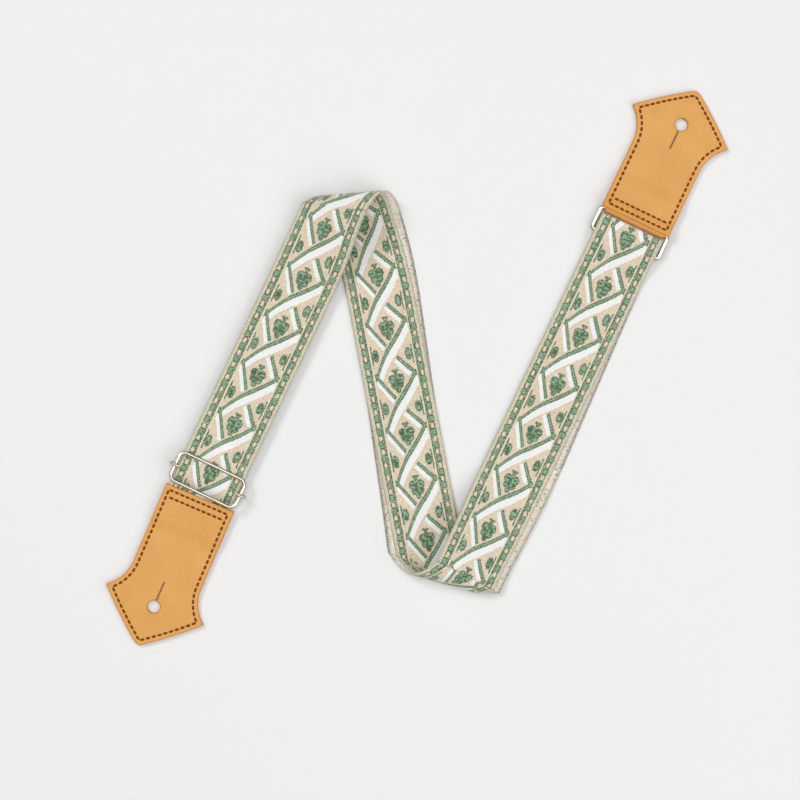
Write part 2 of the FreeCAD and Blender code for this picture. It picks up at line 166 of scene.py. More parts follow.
EDGE_INSET = 3.7
FOOT_ROW = 8.9
STITCH_PITCH = 4.5
STITCH_LENGTH = 2.1
STITCH_RADIUS = 1.0
STITCH_SUNK = 0.15
STITCH_DIVE = 0.5
STITCH_POINTS = 9
GROOVE_DEPTH = 0.14
GROOVE_REACH = 1.6
DENT_DEPTH = 0.40
DENT_REACH = 0.8
SWELL = 0.10
SWELL_AT = 2.6
SWELL_REACH = 1.1
TACKS = 10
TACK_HALF = 1.4
TACK_RADIUS = 0.3


# ---------------------------------------------------------------- meshes

UV_UNIT = 100


def new_object(name, points, faces, smooth=True):
    """An object from points in millimetres."""
    mesh = bpy.data.meshes.new(name)
    mesh.from_pydata((np.asarray(points) * MM).tolist(), [], [tuple(f) for f in faces])
    mesh.update()
    if smooth:
        mesh.polygons.foreach_set("use_smooth", [True] * len(mesh.polygons))
    piece = bpy.data.objects.new(name, mesh)
    bpy.context.scene.collection.objects.link(piece)
    return piece


def add_uv(piece, name, first, second):
    """A UV map that holds two lengths for each point, in units of UV_UNIT."""
    layer = piece.data.uv_layers.new(name=name)
    corner = np.zeros(len(piece.data.loops), int)
    piece.data.loops.foreach_get("vertex_index", corner)
    layer.data.foreach_set("uv", (np.stack([first, second], -1).reshape(-1, 2)[corner] / UV_UNIT).ravel())


def use(piece, *materials):
    for material in materials:
        piece.data.materials.append(material)


def grid_faces(rows, columns, closed_rows=False, closed_columns=False):
    """Quads between the points of a grid, numbered row by row."""
    i = np.arange(rows if closed_rows else rows - 1)[:, None]
    j = np.arange(columns if closed_columns else columns - 1)[None, :]
    i2, j2 = (i + 1) % rows, (j + 1) % columns
    quads = np.stack([i * columns + j, i * columns + j2, i2 * columns + j2, i2 * columns + j], -1)
    return quads.reshape(-1, 4)


def end_caps(points, columns):
    """The faces that close the first and the last row of a grid with so many points."""
    return [list(range(columns)), list(range(points - 1, points - columns - 1, -1))]


def facing_out(points, faces):
    """The same faces, turned round if they look into the solid."""
    corner = points[faces]
    volume = np.einsum("ij,ij->i", corner[:, 0], np.cross(corner[:, 1], corner[:, 2])).sum()
    return faces[:, ::-1] if volume < 0 else faces


def travelled(path):
    """How far along a path each of its points is."""
    return np.concatenate([[0.0], np.cumsum(np.linalg.norm(np.diff(path, axis=0), axis=1))])


def sweep(path, radius, closed, sides=20):
    """Round wire along a path of points. radius may be one value or one for each point."""
    path = np.asarray(path, float)
    count = len(path)
    if closed:
        tangent = np.roll(path, -1, 0) - np.roll(path, 1, 0)
    else:
        tangent = np.gradient(path, axis=0)
    tangent /= np.linalg.norm(tangent, axis=1)[:, None]
    side = np.cross(tangent, UP + np.array((1e-4, 0, 0)))
    side /= np.linalg.norm(side, axis=1)[:, None]
    top = np.cross(side, tangent)
    turn = np.linspace(0, 2 * math.pi, sides, endpoint=False)[None, :, None]
    reach = np.broadcast_to(np.asarray(radius, float), count)[:, None, None]
    ring = path[:, None] + reach * (np.cos(turn) * side[:, None] + np.sin(turn) * top[:, None])
    faces = grid_faces(count, sides, closed, True).tolist()
    if not closed:
        faces += end_caps(count * sides, sides)
    return ring.reshape(-1, 3), faces


# ---------------------------------------------------------------- a small language for patterns

def feed(links, slot, value):
    """Gives an input a field, another socket or a constant."""
    if isinstance(value, Field):
        value = value.socket
    if isinstance(value, bpy.types.NodeSocket):
        links.new(value, slot)
    else:
        slot.default_value = value


class Field:
    """A number that varies over a surface, worked out by shader nodes. It takes the usual signs."""

    tree = None

    def __init__(self, socket):
        self.socket = socket

    @classmethod
    def math(cls, operation, *inputs):
        node = cls.tree.nodes.new("ShaderNodeMath")
        node.operation = operation
        for slot, value in zip(node.inputs, inputs):
            feed(cls.tree.links, slot, value)
        return Field(node.outputs[0])


for sign, operation in (("add", "ADD"), ("sub", "SUBTRACT"), ("mul", "MULTIPLY"), ("truediv", "DIVIDE")):
    setattr(Field, f"__{sign}__", lambda a, b, operation=operation: Field.math(operation, a, b))
    setattr(Field, f"__r{sign}__", lambda a, b, operation=operation: Field.math(operation, b, a))


class NodeMaths:
    """The functions of a pattern, for fields."""

    least = partial(Field.math, "MINIMUM")
    most = partial(Field.math, "MAXIMUM")
    size = partial(Field.math, "ABSOLUTE")
    floor = partial(Field.math, "FLOOR")
    sine = partial(Field.math, "SINE")
    root = partial(Field.math, "SQRT")

    @staticmethod
    def clamp(a):
        node = Field.tree.nodes.new("ShaderNodeClamp")
        feed(Field.tree.links, node.inputs[0], a)
        return Field(node.outputs[0])


class ArrayMaths:
    """The same functions, for arrays of points."""

    least = staticmethod(np.minimum)
    most = staticmethod(np.maximum)
    size = staticmethod(np.abs)
    floor = staticmethod(np.floor)
    sine = staticmethod(np.sin)
    root = staticmethod(np.sqrt)
    clamp = staticmethod(lambda a: np.clip(a, 0.0, 1.0))


# ---------------------------------------------------------------- the woven pattern

REPEAT = 40.3
# Where a repeat starts on each leg, across the folds.
REPEAT_STARTS = {1: -16.2, 2: -44.7, 3: -32.4}
PICK = 0.85
WARP = 0.62
FIELD_EDGE = 16.3

# Two zigzag ribbons between the vertices. Each is a green line, with a white band on its lower side.
VERTEX_LEFT = -14.0
VERTEX_RIGHT = 14.6
VERTEX_SHIFT = 1.1
OVER_BOW = 2.2
OVER_WAVE = 1.2
UNDER_BOW = 2.4
SLOPE_SHARE = 0.59
GREEN_HALF = 1.3
WHITE_OVER = 4.6
WHITE_UNDER = 3.2
CLEARANCE = 1.4
JOINED_LEFT = 4.5
JOINED_RIGHT = 2.0
WHITE_PAST = 0.9
WHITE_FROM_EDGE = 0.6

# Ovals are (up, across, half height, half width). The flower's are mirrored in the middle of the webbing.
FLOWER_AT = -4.7
LOBES = ((1.3, 2.7, 3.5, 3.2), (-3.0, 2.0, 3.2, 2.8))
CROWN = ((6.2, 0.0, 2.2, 1.3), (7.6, 1.5, 0.9, 1.0))
FOOT = ((-7.0, 0.0, 2.4, 2.0),)
VEIN_HALF = 0.45
VEIN_REACH = 5.5
SIDE_VEIN = {"up": 1.0, "slope": 0.35, "half": 0.4, "reach": 5.0}

# In each side triangle, from its place in the repeat: the bud's oval and the stem's block.
SIDE_SHAPES = (
    (0.40 * REPEAT, (0.0, -12.2, 4.7, 2.4), (0.4, -14.9, 7.4, 0.45)),
    (0.345 * REPEAT, (0.0, 12.4, 4.6, 2.5), (-0.4, 15.2, 7.0, 0.45)),
)

CHAIN_AT = 20.2
CHAIN_PITCH = REPEAT / 4
CHAIN_OFFSET_RIGHT = 2.9
LINK_OVAL = (3.3, 2.7)
LINK_BLOCK = (2.7, 2.1)
CHAIN_LOOP = (2.9, 1.7)
CHAIN_LOOP_IN = 0.2
CHAIN_LOOP_HALF = 0.42
INNER_LINE_AT = 17.5
INNER_LINE_HALF = 0.5
SEPARATOR_HALF = 0.45
CORE = 0.7


def inside(maths, distance, soft):
    """1 where a signed distance is negative, falling to 0 over a soft edge."""
    return maths.clamp(0.5 - distance / soft)


def oval(maths, along, across, half_along, half_across):
    """A rough signed distance from an oval."""
    a, b = along / half_along, across / half_across
    return (maths.root(a * a + b * b) - 1.0) * min(half_along, half_across)


def block(maths, along, across, half_along, half_across):
    """Signed distance from a rectangle."""
    return maths.most(maths.size(along) - half_along, maths.size(across) - half_across)


def placed(shape, maths, along, across, up, aside, half_along, half_across):
    return shape(maths, along - up, across - aside, half_along, half_across)


def union(maths, *shapes):
    found = shapes[0]
    for shape in shapes[1:]:
        found = maths.least(found, shape)
    return found


def wrapped(maths, along, period):
    """Distance along from the middle of the nearest repeat."""
    share = along / period + 0.5
    return (share - maths.floor(share) - 0.5) * period


def ribbons(maths, along, across):
    """Signed distances from the two ribbons' green lines and from their white bands."""
    reach = VERTEX_RIGHT - VERTEX_LEFT
    # The ribbon that climbs to the right lies on top.
    share = maths.clamp((across - VERTEX_LEFT) / reach)
    wave = maths.sine(share * math.pi) * OVER_BOW + maths.sine(share * (2 * math.pi)) * OVER_WAVE
    over = wrapped(maths, along - (share * (REPEAT - VERTEX_SHIFT) + wave), REPEAT) * SLOPE_SHARE
    over_green = maths.size(over) - GREEN_HALF
    over_white = maths.size(over + (GREEN_HALF + WHITE_OVER / 2)) - WHITE_OVER / 2
    # The ribbon that climbs to the left passes under it.
    back = maths.clamp((VERTEX_RIGHT - across) / reach)
    rise = back * (REPEAT + VERTEX_SHIFT) - maths.sine(back * math.pi) * UNDER_BOW - VERTEX_SHIFT
    under = wrapped(maths, along - rise, REPEAT) * SLOPE_SHARE
    under_green = maths.size(under) - GREEN_HALF
    under_white = maths.size(under + (GREEN_HALF + WHITE_UNDER / 2)) - WHITE_UNDER / 2
    clear = maths.most(0 - (over + (GREEN_HALF + WHITE_OVER + CLEARANCE)), over - (GREEN_HALF + CLEARANCE))
    near_left = across - (VERTEX_LEFT + JOINED_LEFT)
    near_right = (VERTEX_RIGHT - JOINED_RIGHT) - across
    green_hidden = maths.least(0 - clear, maths.least(near_left, near_right))
    white_hidden = maths.least(0 - clear, maths.most(near_left, over + GREEN_HALF))
    over_white = maths.most(over_white, maths.least(GREEN_HALF - under, 0 - near_left))
    field = maths.most((VERTEX_LEFT - GREEN_HALF) - across, across - (VERTEX_RIGHT + GREEN_HALF))
    white_field = maths.most((VERTEX_LEFT - WHITE_PAST) - across, across - (FIELD_EDGE - WHITE_FROM_EDGE))
    green = maths.most(union(maths, over_green, maths.most(under_green, green_hidden)), field)
    white = maths.most(union(maths, over_white, maths.most(under_white, white_hidden)), white_field)
    return green, white


def pattern(maths, along, across, soft, ragged=0.0):
    """Shares of green, light and deep green, white and separating line at a place on the webbing's face."""
    green_lines, white = ribbons(maths, along, across)
    side = maths.size(across)
    # A flower in each diamond: two pairs of lobes with dark veins between, a little crown and a foot.
    up = wrapped(maths, along - FLOWER_AT, REPEAT)
    bloom = union(maths, *(placed(oval, maths, up, side, *shape) for shape in LOBES + CROWN + FOOT))
    stems = []
    for at, bud, stem in SIDE_SHAPES:
        from_bud = wrapped(maths, along - at, REPEAT)
        bloom = maths.least(bloom, placed(oval, maths, from_bud, across, *bud))
        stems.append(placed(block, maths, from_bud, across, *stem))
    # The chain along each edge: round links joined by thin loops, and the line beside it.
    link = wrapped(maths, along - maths.clamp(across) * CHAIN_OFFSET_RIGHT, CHAIN_PITCH)
    beside = side - CHAIN_AT
    ring = maths.most(oval(maths, link, beside, *LINK_OVAL), block(maths, link, beside, *LINK_BLOCK))
    from_gap = wrapped(maths, link + CHAIN_PITCH / 2, CHAIN_PITCH)
    loop = maths.size(oval(maths, from_gap, side - (CHAIN_AT - CHAIN_LOOP_IN), *CHAIN_LOOP)) - CHAIN_LOOP_HALF
    inner_line = maths.size(side - INNER_LINE_AT) - INNER_LINE_HALF
    solid = union(maths, green_lines, ring)
    green = union(maths, solid, bloom, *stems, loop, inner_line)
    side_vein = maths.size(up + SIDE_VEIN["up"] + side * SIDE_VEIN["slope"]) - SIDE_VEIN["half"]
    deep = union(
        maths,
        maths.most(side - VEIN_HALF, maths.size(up) - VEIN_REACH),
        maths.most(side_vein, side - SIDE_VEIN["reach"]),
    )
    separator = maths.size(side - FIELD_EDGE) - SEPARATOR_HALF
    return {
        "green": inside(maths, green - ragged, soft),
        "light": inside(maths, solid + (CORE - ragged), soft),
        "bloom": inside(maths, bloom + (CORE - ragged), soft),
        "deep": inside(maths, deep, soft),
        "white": inside(maths, white - ragged * 0.5, soft),
        "separator": inside(maths, separator, soft),
    }


# ---------------------------------------------------------------- materials

def colour(red, green, blue):
    """A linear colour from its 0 to 255 sRGB values."""
    shares = [value / 255 for value in (red, green, blue)]
    linear = [s / 12.92 if s <= 0.04045 else ((s + 0.055) / 1.055) ** 2.4 for s in shares]
    return (*linear, 1.0)


class Material:
    """A node material, with short ways to make the nodes that the pieces here need."""

    def __init__(self, name):
        self.material = bpy.data.materials.new(name)
        self.material.use_nodes = True
        self.nodes = self.material.node_tree.nodes
        self.links = self.material.node_tree.links
        self.shader = self.nodes["Principled BSDF"]
        Field.tree = self.material.node_tree

    def node(self, kind, **inputs):
        """A node with some of its inputs given."""
        made = self.nodes.new(f"ShaderNode{kind}")
        for name, value in inputs.items():
            feed(self.links, made.inputs[name], value)
        return made

    def plane(self, name):
        """The two lengths kept in a UV map, in millimetres."""
        node = self.node("UVMap")
        node.uv_map = name
        split = self.node("SeparateXYZ", Vector=node.outputs[0])
        return Field(split.outputs[0]) * UV_UNIT, Field(split.outputs[1]) * UV_UNIT

    def space(self, x, y, z=0.0):
        """A vector of three fields or numbers."""
        return self.node("CombineXYZ", X=x, Y=y, Z=z).outputs[0]

    def place(self):
        """Where the surface is on the object, in metres."""
        return self.node("TexCoord").outputs["Object"]

    def noise(self, vector, scale, detail=2.0):
        return Field(self.node("TexNoise", Vector=vector, Scale=scale, Detail=detail).outputs[0])

    def speckle(self, vector):
        return Field(self.node("TexWhiteNoise", Vector=vector).outputs["Value"])

    def cells(self, vector, scale):
        return Field(self.node("TexVoronoi", Vector=vector, Scale=scale).outputs["Distance"])

    def mix(self, share, first, second, blend="MIX"):
        """One colour over another. Colours are sockets or values."""
        node = self.node("Mix")
        node.data_type = "RGBA"
        node.blend_type = blend
        for slot, value in ((0, share), (6, first), (7, second)):
            feed(self.links, node.inputs[slot], value)
        return node.outputs[2]

    def toned(self, surface, tone):
        """A colour made lighter or darker by a field."""
        return self.mix(1.0, surface, self.space(tone, tone, tone), "MULTIPLY")

    def finish(self, base, roughness, height, depth, **values):
        """Links the colour, the roughness and a bump of that depth in metres, and sets constant inputs."""
        feed(self.links, self.shader.inputs["Base Color"], base)
        feed(self.links, self.shader.inputs["Roughness"], roughness)
        bump = self.node("Bump", Distance=depth, Height=height)
        self.links.new(bump.outputs[0], self.shader.inputs["Normal"])
        for name, value in values.items():
            self.shader.inputs[name.replace("_", " ")].default_value = value
        return self.material


BEIGE = colour(230, 216, 191)
PINK = colour(246, 208, 188)
CREAM = colour(232, 236, 206)
WHITE = colour(255, 255, 252)
GREEN_LIGHT = colour(166, 196, 164)
GREEN_DEEP = colour(84, 112, 82)
STRAW = colour(196, 172, 142)

# Bump depths are in metres, and a clump is a few threads that lie alike, in millimetres across and along.
WEAVE_DEPTH = 0.00025
LEATHER_DEPTH = 0.00018
THREAD_DEPTH = 0.0002
WIRE_DEPTH = 0.00003
FACE_CLUMP = (1.9, 1.3)
BACK_CLUMP = (1.7, 1.1)
SELVEDGE_AT = 22.6
FACE_SOFT = 0.45


def threads(made, across, along, clump, seed):
    """The thread at a place, how high it stands there, and random values for the thread and its clump."""
    column = NodeMaths.floor(across / WARP)
    row = NodeMaths.floor(along / PICK)
    round_column = NodeMaths.sine((across / WARP) * (2 * math.pi))
    round_row = NodeMaths.sine((along / PICK) * (2 * math.pi))
    cell = made.speckle(made.space(column, row, seed))
    clump_column, clump_row = NodeMaths.floor(across / clump[0]), NodeMaths.floor(along / clump[1])
    patch = made.speckle(made.space(clump_column, clump_row, seed + 2))
    return column, row, round_column * round_row, cell, patch


def webbing_face():
    """Jacquard face: picks and warps as small cells, with the pattern's edges roughened by them."""
    made = Material("webbing face")
    across, along = made.plane("weave")
    column, row, relief, cell, clump = threads(made, across, along, FACE_CLUMP, 0.0)
    every_other = NodeMaths.sine((row + 0.5) * math.pi)
    cell_2 = made.speckle(made.space(column, row, 7.0))
    broad = made.noise(made.space(across, along), 0.35, 3.0)
    ragged = (cell - 0.5) * 0.5 + (clump - 0.5) * 0.35 + every_other * 0.12
    found = pattern(NodeMaths, along, across, FACE_SOFT, ragged)
    ground = made.mix(NodeMaths.clamp(cell * 2.4 - 1.2 + clump * 0.5), BEIGE, PINK)
    ground = made.mix(NodeMaths.clamp(cell_2 * 3.0 - 1.9), ground, CREAM)
    ground = made.mix(NodeMaths.clamp(clump * 4.0 - 3.3) * 0.35, ground, GREEN_LIGHT)
    selvedge = NodeMaths.clamp((NodeMaths.size(across) - SELVEDGE_AT) * 1.5)
    knots = NodeMaths.clamp(every_other * 0.3 + clump * 0.9)
    ground = made.mix(selvedge * knots * 0.6, ground, GREEN_LIGHT)
    ground = made.mix(found["separator"] * 0.7, ground, CREAM)
    # The green lines, links and blooms have a lighter core and a darker rim: partly two-tone yarn, partly
    # painted shade of a rounded cord.
    core = found["light"] * NodeMaths.clamp(0.45 + cell_2 * 0.5 + every_other * 0.12)
    core = core + found["bloom"] * NodeMaths.clamp(clump * 1.6 - 0.35 + every_other * 0.1)
    green = made.mix(core, GREEN_DEEP, GREEN_LIGHT)
    green = made.mix(found["deep"] * 0.7, green, GREEN_DEEP)
    green = made.mix(NodeMaths.clamp(clump * 4.0 - 2.9) * 0.4, green, GREEN_DEEP)
    face = made.mix(found["white"], ground, WHITE)
    face = made.mix(found["green"], face, green)
    contrast = 1.0 - found["white"] * 0.75
    # Painted shade at thread scale: relief lightens each thread's crown and darkens between threads; the rest
    # of the tone varies at random and by alternate picks.
    tone = (relief * 0.07 + (cell - 0.5) * 0.20 + (clump - 0.5) * 0.08 + every_other * 0.05) * contrast
    face = made.toned(face, tone + (broad - 0.5) * 0.06 + 0.995)
    height = relief * 0.3 + every_other * 0.35 + found["white"] * 0.2 + cell * 0.25
    return made.finish(face, 0.82 - found["white"] * 0.14, height, WEAVE_DEPTH, Sheen_Weight=0.3,
                       Sheen_Roughness=0.5, Specular_IOR_Level=0.25)


def webbing_back():
    """The wrong side: floats of every colour mixed thread by thread."""
    made = Material("webbing back")
    across, along = made.plane("weave")
    _, _, relief, cell, clump = threads(made, across, along, BACK_CLUMP, 3.0)
    floats = made.noise(made.space(across * 0.3, along), 0.9)
    ground = made.mix(NodeMaths.clamp(cell * 2.0 - 0.6), WHITE, PINK)
    ground = made.mix(NodeMaths.clamp(clump * 3.0 - 1.6), ground, CREAM)
    ground = made.mix(NodeMaths.clamp(clump * 5.0 - 3.9) * 0.75, ground, STRAW)
    ground = made.mix(NodeMaths.clamp(clump * 9.0 - 8.2) * 0.6, ground, GREEN_DEEP)
    ground = made.mix(NodeMaths.clamp((floats - 0.58) * 8.0) * 0.45, ground, GREEN_LIGHT)
    # Painted shade at thread scale: relief lightens thread crowns and darkens between them.
    ground = made.toned(ground, 1.0 + relief * 0.07 + (cell - 0.5) * 0.18)
    return made.finish(ground, 0.85, relief * 0.4 + cell * 0.4, WEAVE_DEPTH, Sheen_Weight=0.2,
                       Specular_IOR_Level=0.25)


LEATHER_TAN = colour(224, 165, 86)
LEATHER_PALE = colour(229, 172, 94)
LEATHER_DEEP = colour(217, 153, 74)
LEATHER_EDGE = colour(204, 116, 44)
THREAD_BROWN = colour(152, 74, 14)
HOLE_BROWN = colour(98, 44, 8)
RIM_BURNISHED = 0.9
HOLE_DARK_REACH = 0.65
FAR_FROM_SEAM = 50.0


def leather_material():
    """Smooth tanned leather: fine pores, faint mottling, burnished rim and darker stitch holes."""
    made = Material("leather face")
    rim, seam = made.plane("wear_and_shade")
    place = made.place()
    broad = made.noise(place, 45, 4.0)
    fine = made.noise(place, 700, 3.0)
    pores = made.cells(place, 1500)
    surface = made.mix(NodeMaths.clamp((broad - 0.35) * 2.2), LEATHER_DEEP, LEATHER_PALE)
    surface = made.mix(0.5, surface, LEATHER_TAN)
    # The rim's burnished orange is real edge colour; on the tongue the same mix is painted shade where it turns
    # round the bar.
    surface = made.mix(NodeMaths.clamp(1.0 - rim / RIM_BURNISHED) * 0.85, surface, LEATHER_EDGE)
    # Darker brown round each stitch hole.
    surface = made.mix(NodeMaths.clamp(1.6 - seam / HOLE_DARK_REACH) * 0.8, surface, HOLE_BROWN)
    surface = made.toned(surface, 0.97 + (fine - 0.5) * 0.10)
    height = pores * 0.5 + fine * 0.35 + broad * 0.6
    return made.finish(surface, 0.46 + (fine - 0.5) * 0.2, height, LEATHER_DEPTH, Specular_IOR_Level=0.4)


def thread_material():
    """Waxed sewing thread: twisted strands."""
    made = Material("thread")
    twist = made.noise(made.place(), 900)
    surface = made.mix(NodeMaths.clamp(twist * 1.4 - 0.2), THREAD_BROWN, HOLE_BROWN)
    return made.finish(surface, 0.7, twist, THREAD_DEPTH, Specular_IOR_Level=0.15)


def wire_material():
    """Bright nickel plate with painted shade: darker brown-grey on the flanks that look sideways, so brightest
    where it looks up, with faint draw lines and soft handling marks.
    """
    made = Material("wire")
    place = made.place()
    broad = made.noise(place, 60, 3.0)
    fine = made.noise(place, 1200)
    facing = made.node("SeparateXYZ", Vector=made.node("TexCoord").outputs["Normal"])
    painted_flank_shade = NodeMaths.clamp((0.62 - Field(facing.outputs[2])) * 3.0)
    surface = made.mix(NodeMaths.clamp((broad - 0.3) * 1.6), colour(222, 211, 196), colour(236, 227, 214))
    # Painted shade: the flanks, whose normals turn away from straight up, are mixed towards a dark brown-grey.
    surface = made.mix(painted_flank_shade * 0.85, surface, colour(112, 98, 86))
    return made.finish(surface, 0.22 + broad * 0.10 + (fine - 0.5) * 0.05, fine, WIRE_DEPTH, Metallic=1.0)


FACE = webbing_face()
BACK = webbing_back()
LEATHER_TOP = leather_material()
THREAD = thread_material()
WIRE = wire_material()


# ---------------------------------------------------------------- webbing

def leg_centre(leg, across):
    slope = -LEG_SLOPE if leg == 2 else LEG_SLOPE
    return LEG_AT_ZERO[leg] + slope * across


def plan(along, across, level=0.0):
    return PLAN_ORIGIN + ALONG_FOLD * along + ACROSS_FOLD * across + UP * level


def eased(start, end, share):
    return start + (end - start) * (1 - math.cos(math.pi * share)) / 2


def cross_bar(origin, distance, level, normal=UP):
    """A bar square across a leg: (middle, half of the bar, the way the face looks)."""
    return origin + LEG * distance + UP * level, RIGHT * (WEB_WIDTH / 2), normal


def skew_bar(along, across, level, normal, aside, askew, slope, higher=0.0, further=0.0):
    """A bar along the fold direction. Its right end stands higher and further across than its middle, and aside
    moves it along its own line. It is also turned in plan, right end askew across, between a leg's edges."""
    reach = math.sqrt(HALF_ALONG_FOLD ** 2 - higher ** 2 - further ** 2)
    half = ALONG_FOLD * (reach + slope * askew) + ACROSS_FOLD * (further + askew) + UP * higher
    square = normal - half * (normal @ half) / (half @ half)
    middle = plan(along - (HALF_ALONG_FOLD - reach), across, level) + half * (aside / HALF_ALONG_FOLD)
    return middle, half, square / np.linalg.norm(square)


def fold_stations(fold):
    """From the lower leg to the upper: (back from the apex, height, normal back, normal up, share of the turn,
    how much the bar is turned in plan, how much higher and further back its right end is than its middle)."""
    radius, cone, ramp = fold["radius"], fold["cone"], math.radians(fold["ramp"])
    askew = fold["side"] * fold["askew"]
    back = radius + HALF_GAP + WEB_THICK
    level = FLOOR_MIDDLE + radius
    stations = []
    for i in range(TURN_STEPS + 1):
        turn = -math.pi / 2 + (math.pi + ramp) * i / TURN_STEPS
        out, up = -math.cos(turn), math.sin(turn)
        stations.append((back + radius * out, level + radius * up, out, up, i / TURN_STEPS,
                         askew, cone * (1 + up), cone * out))
    turn_end, height, out, up = stations[-1][:4]
    blend_top = fold["high"] + BLEND_RADIUS * (1 - math.cos(ramp))
    ramp_end = turn_end + (height - blend_top) / math.tan(ramp)
    blend_end = ramp_end + BLEND_RADIUS * math.sin(ramp)
    higher, further = cone * (1 + up), cone * out
    after = []
    for i in range(1, RAMP_STEPS):
        share = i / RAMP_STEPS
        after.append((turn_end + (ramp_end - turn_end) * share, height + (blend_top - height) * share, out, up))
    for i in range(BLEND_STEPS + 1):
        tilt = ramp * (1 - i / BLEND_STEPS)
        out, up = math.sin(tilt), math.cos(tilt)
        after.append((blend_end - BLEND_RADIUS * out, fold["high"] + BLEND_RADIUS * (1 - up), out, up))
    for place, height, out, up in after:
        share = eased(1.0, 0.0, (place - turn_end) / (blend_end - turn_end))
        stations.append((place, height, out, up, None, askew * share, higher * share, further * share))
    return stations


def fold_bars(fold, lower_fan, upper_fan, sign):
    """Bars round a fold from its lower leg to its upper, along the fold. sign turns the face in or out."""
    stations = fold_stations(fold)
    side = fold["side"]
    start = leg_centre(2, fold["apex"] - side * stations[0][0]) + fold["lean"]
    end = leg_centre(fold["upper_leg"], fold["apex"] - side * stations[TURN_STEPS][0])
    bars = []
    for back, height, out, up, share, askew, higher, further in stations:
        across = fold["apex"] - side * back
        along = leg_centre(fold["upper_leg"], across) if share is None else start + (end - start) * share
        aside = upper_fan if share is None else lower_fan + (upper_fan - lower_fan) * share
        slope = LEG_SLOPE if share is None else LEG_SLOPE * (2 * share - 1)
        normal = (ACROSS_FOLD * (-side * out) + UP * up) * sign
        bars.append(skew_bar(along, across, height, normal, aside, askew, slope, higher, -side * further))
    return bars


def leg_2_bars(fan_1, fan_2, sign):
    """Bars of one layer on the middle leg, from the first fold to the second, between its fans at the two."""
    top = FOLD_1["apex"] - fold_stations(FOLD_1)[0][0]
    bottom = FOLD_2["apex"] + fold_stations(FOLD_2)[0][0]
    bars = []
    for i in range(LEG_2_STEPS + 1):
        across = top + (bottom - top) * i / LEG_2_STEPS
        near_1 = max(0.0, 1 - (top - across) / LEAN_REACH)
        near_2 = max(0.0, 1 - (across - bottom) / LEAN_REACH)
        askew = -FOLD_2["askew"] * near_2 ** 2
        aside = fan_1 + (fan_2 - fan_1) * i / LEG_2_STEPS
        along = leg_centre(2, across) + FOLD_1["lean"] * near_1 ** 2
        bars.append(skew_bar(along, across, FLOOR_MIDDLE, UP * -sign, aside, askew, -LEG_SLOPE))
    return bars


def filled(bars, step):
    """The same bars with more between them wherever they stand further apart than step."""
    found = [bars[0]]
    for bar, following in zip(bars, bars[1:]):
        count = max(1, round(float(np.linalg.norm(following[0] - bar[0])) / step))
        for i in range(1, count + 1):
            share = i / count
            found.append(tuple(a + (b - a) * share for a, b in zip(bar, following)))
    return found


FACE_ROUND = 0.8
BACK_COLUMNS = 13
RELIEF = {"green": 0.10, "white": 0.13, "ground": -0.16, "picks": 0.05}
RELIEF_SOFT = 0.9
SCALLOP = 0.004
SCALLOP_REACH = 1.5


def pattern_places(run, along_start, zero, along_end):
    """Where in the pattern each bar of a run is: from along_start, or from the bar nearest to zero, and on to
    along_end or the same place in a neighbouring repeat."""
    so_far = travelled(run)
    if zero is not None:
        along_start = -so_far[np.argmin(np.linalg.norm((run - zero)[:, :2], axis=1))]
    places = so_far + along_start
    if along_end is not None:
        short = along_end - places[-1]
        short -= round(short / REPEAT) * REPEAT
        places = places + short * so_far / so_far[-1]
    return places, float(so_far[-1])


def strip(name, bars, step, column, along_start=None, zero=None, along_end=None):
    """A run of webbing through bars: the piece, where in the pattern it ends, and its length."""
    bars = filled(bars, step)
    middle, half, normal = (np.array([bar[i] for bar in bars]) for i in range(3))
    normal /= np.linalg.norm(normal, axis=1)[:, None]
    places, length = pattern_places(middle, along_start, zero, along_end)
    tangent = np.gradient(middle, axis=0)
    tangent /= np.linalg.norm(tangent, axis=1)[:, None]
    skew = (half * tangent).sum(1)

    last = max(3, round(WEB_WIDTH / column))
    share = np.concatenate([np.linspace(-1, 1, last + 1), np.linspace(1, -1, BACK_COLUMNS)[1:-1]])
    on_face = np.arange(len(share)) <= last
    width = share * WEB_WIDTH / 2
    from_edge = WEB_WIDTH / 2 - np.abs(width)
    rounding = 0.5 * np.clip(1 - from_edge / FACE_ROUND, 0, 1) ** 2 * WEB_THICK
    along = places[:, None] + skew[:, None] * share[None, :]
    across = np.broadcast_to(width, along.shape)
    found = pattern(ArrayMaths, along, across, RELIEF_SOFT)
    picks = np.sin(along * (math.pi / PICK))
    relief = RELIEF["green"] * found["green"] + RELIEF["white"] * found["white"] + RELIEF["ground"]
    face_height = HALF_GAP + WEB_THICK - rounding + relief + RELIEF["picks"] * picks
    height = np.where(on_face, face_height, HALF_GAP + rounding)
    scallop = 1 + SCALLOP * picks * np.clip(1 - from_edge / SCALLOP_REACH, 0, 1)
    reach = half[:, None] * (share[None, :] * scallop)[..., None]
    points = (middle[:, None] + reach + normal[:, None] * height[..., None]).reshape(-1, 3)
    rows, columns = along.shape
    faces = facing_out(points, grid_faces(rows, columns, False, True))
    slots = np.where((faces % columns).max(1) <= last, 0, 1)
    piece = new_object(name, points, faces.tolist() + end_caps(rows * columns, columns))
    add_uv(piece, "weave", across, along)
    use(piece, FACE, BACK)
    piece.data.polygons.foreach_set("material_index", slots.tolist() + [1, 1])
    return piece, float(places[-1]), length


def anchor_bars():
    """From the end inside tab B up to the slider."""
    low = SETTLED - HALF_GAP
    start, run = ANCHOR_RAMP
    bars = [cross_bar(SLIDER, -ANCHOR_REACH, low)]
    for i in range(12, -1, -1):
        bars.append(cross_bar(SLIDER, -start - run * i / 12, eased(SLIDER_LEVEL_MIDDLE, low, i / 12)))
    return bars


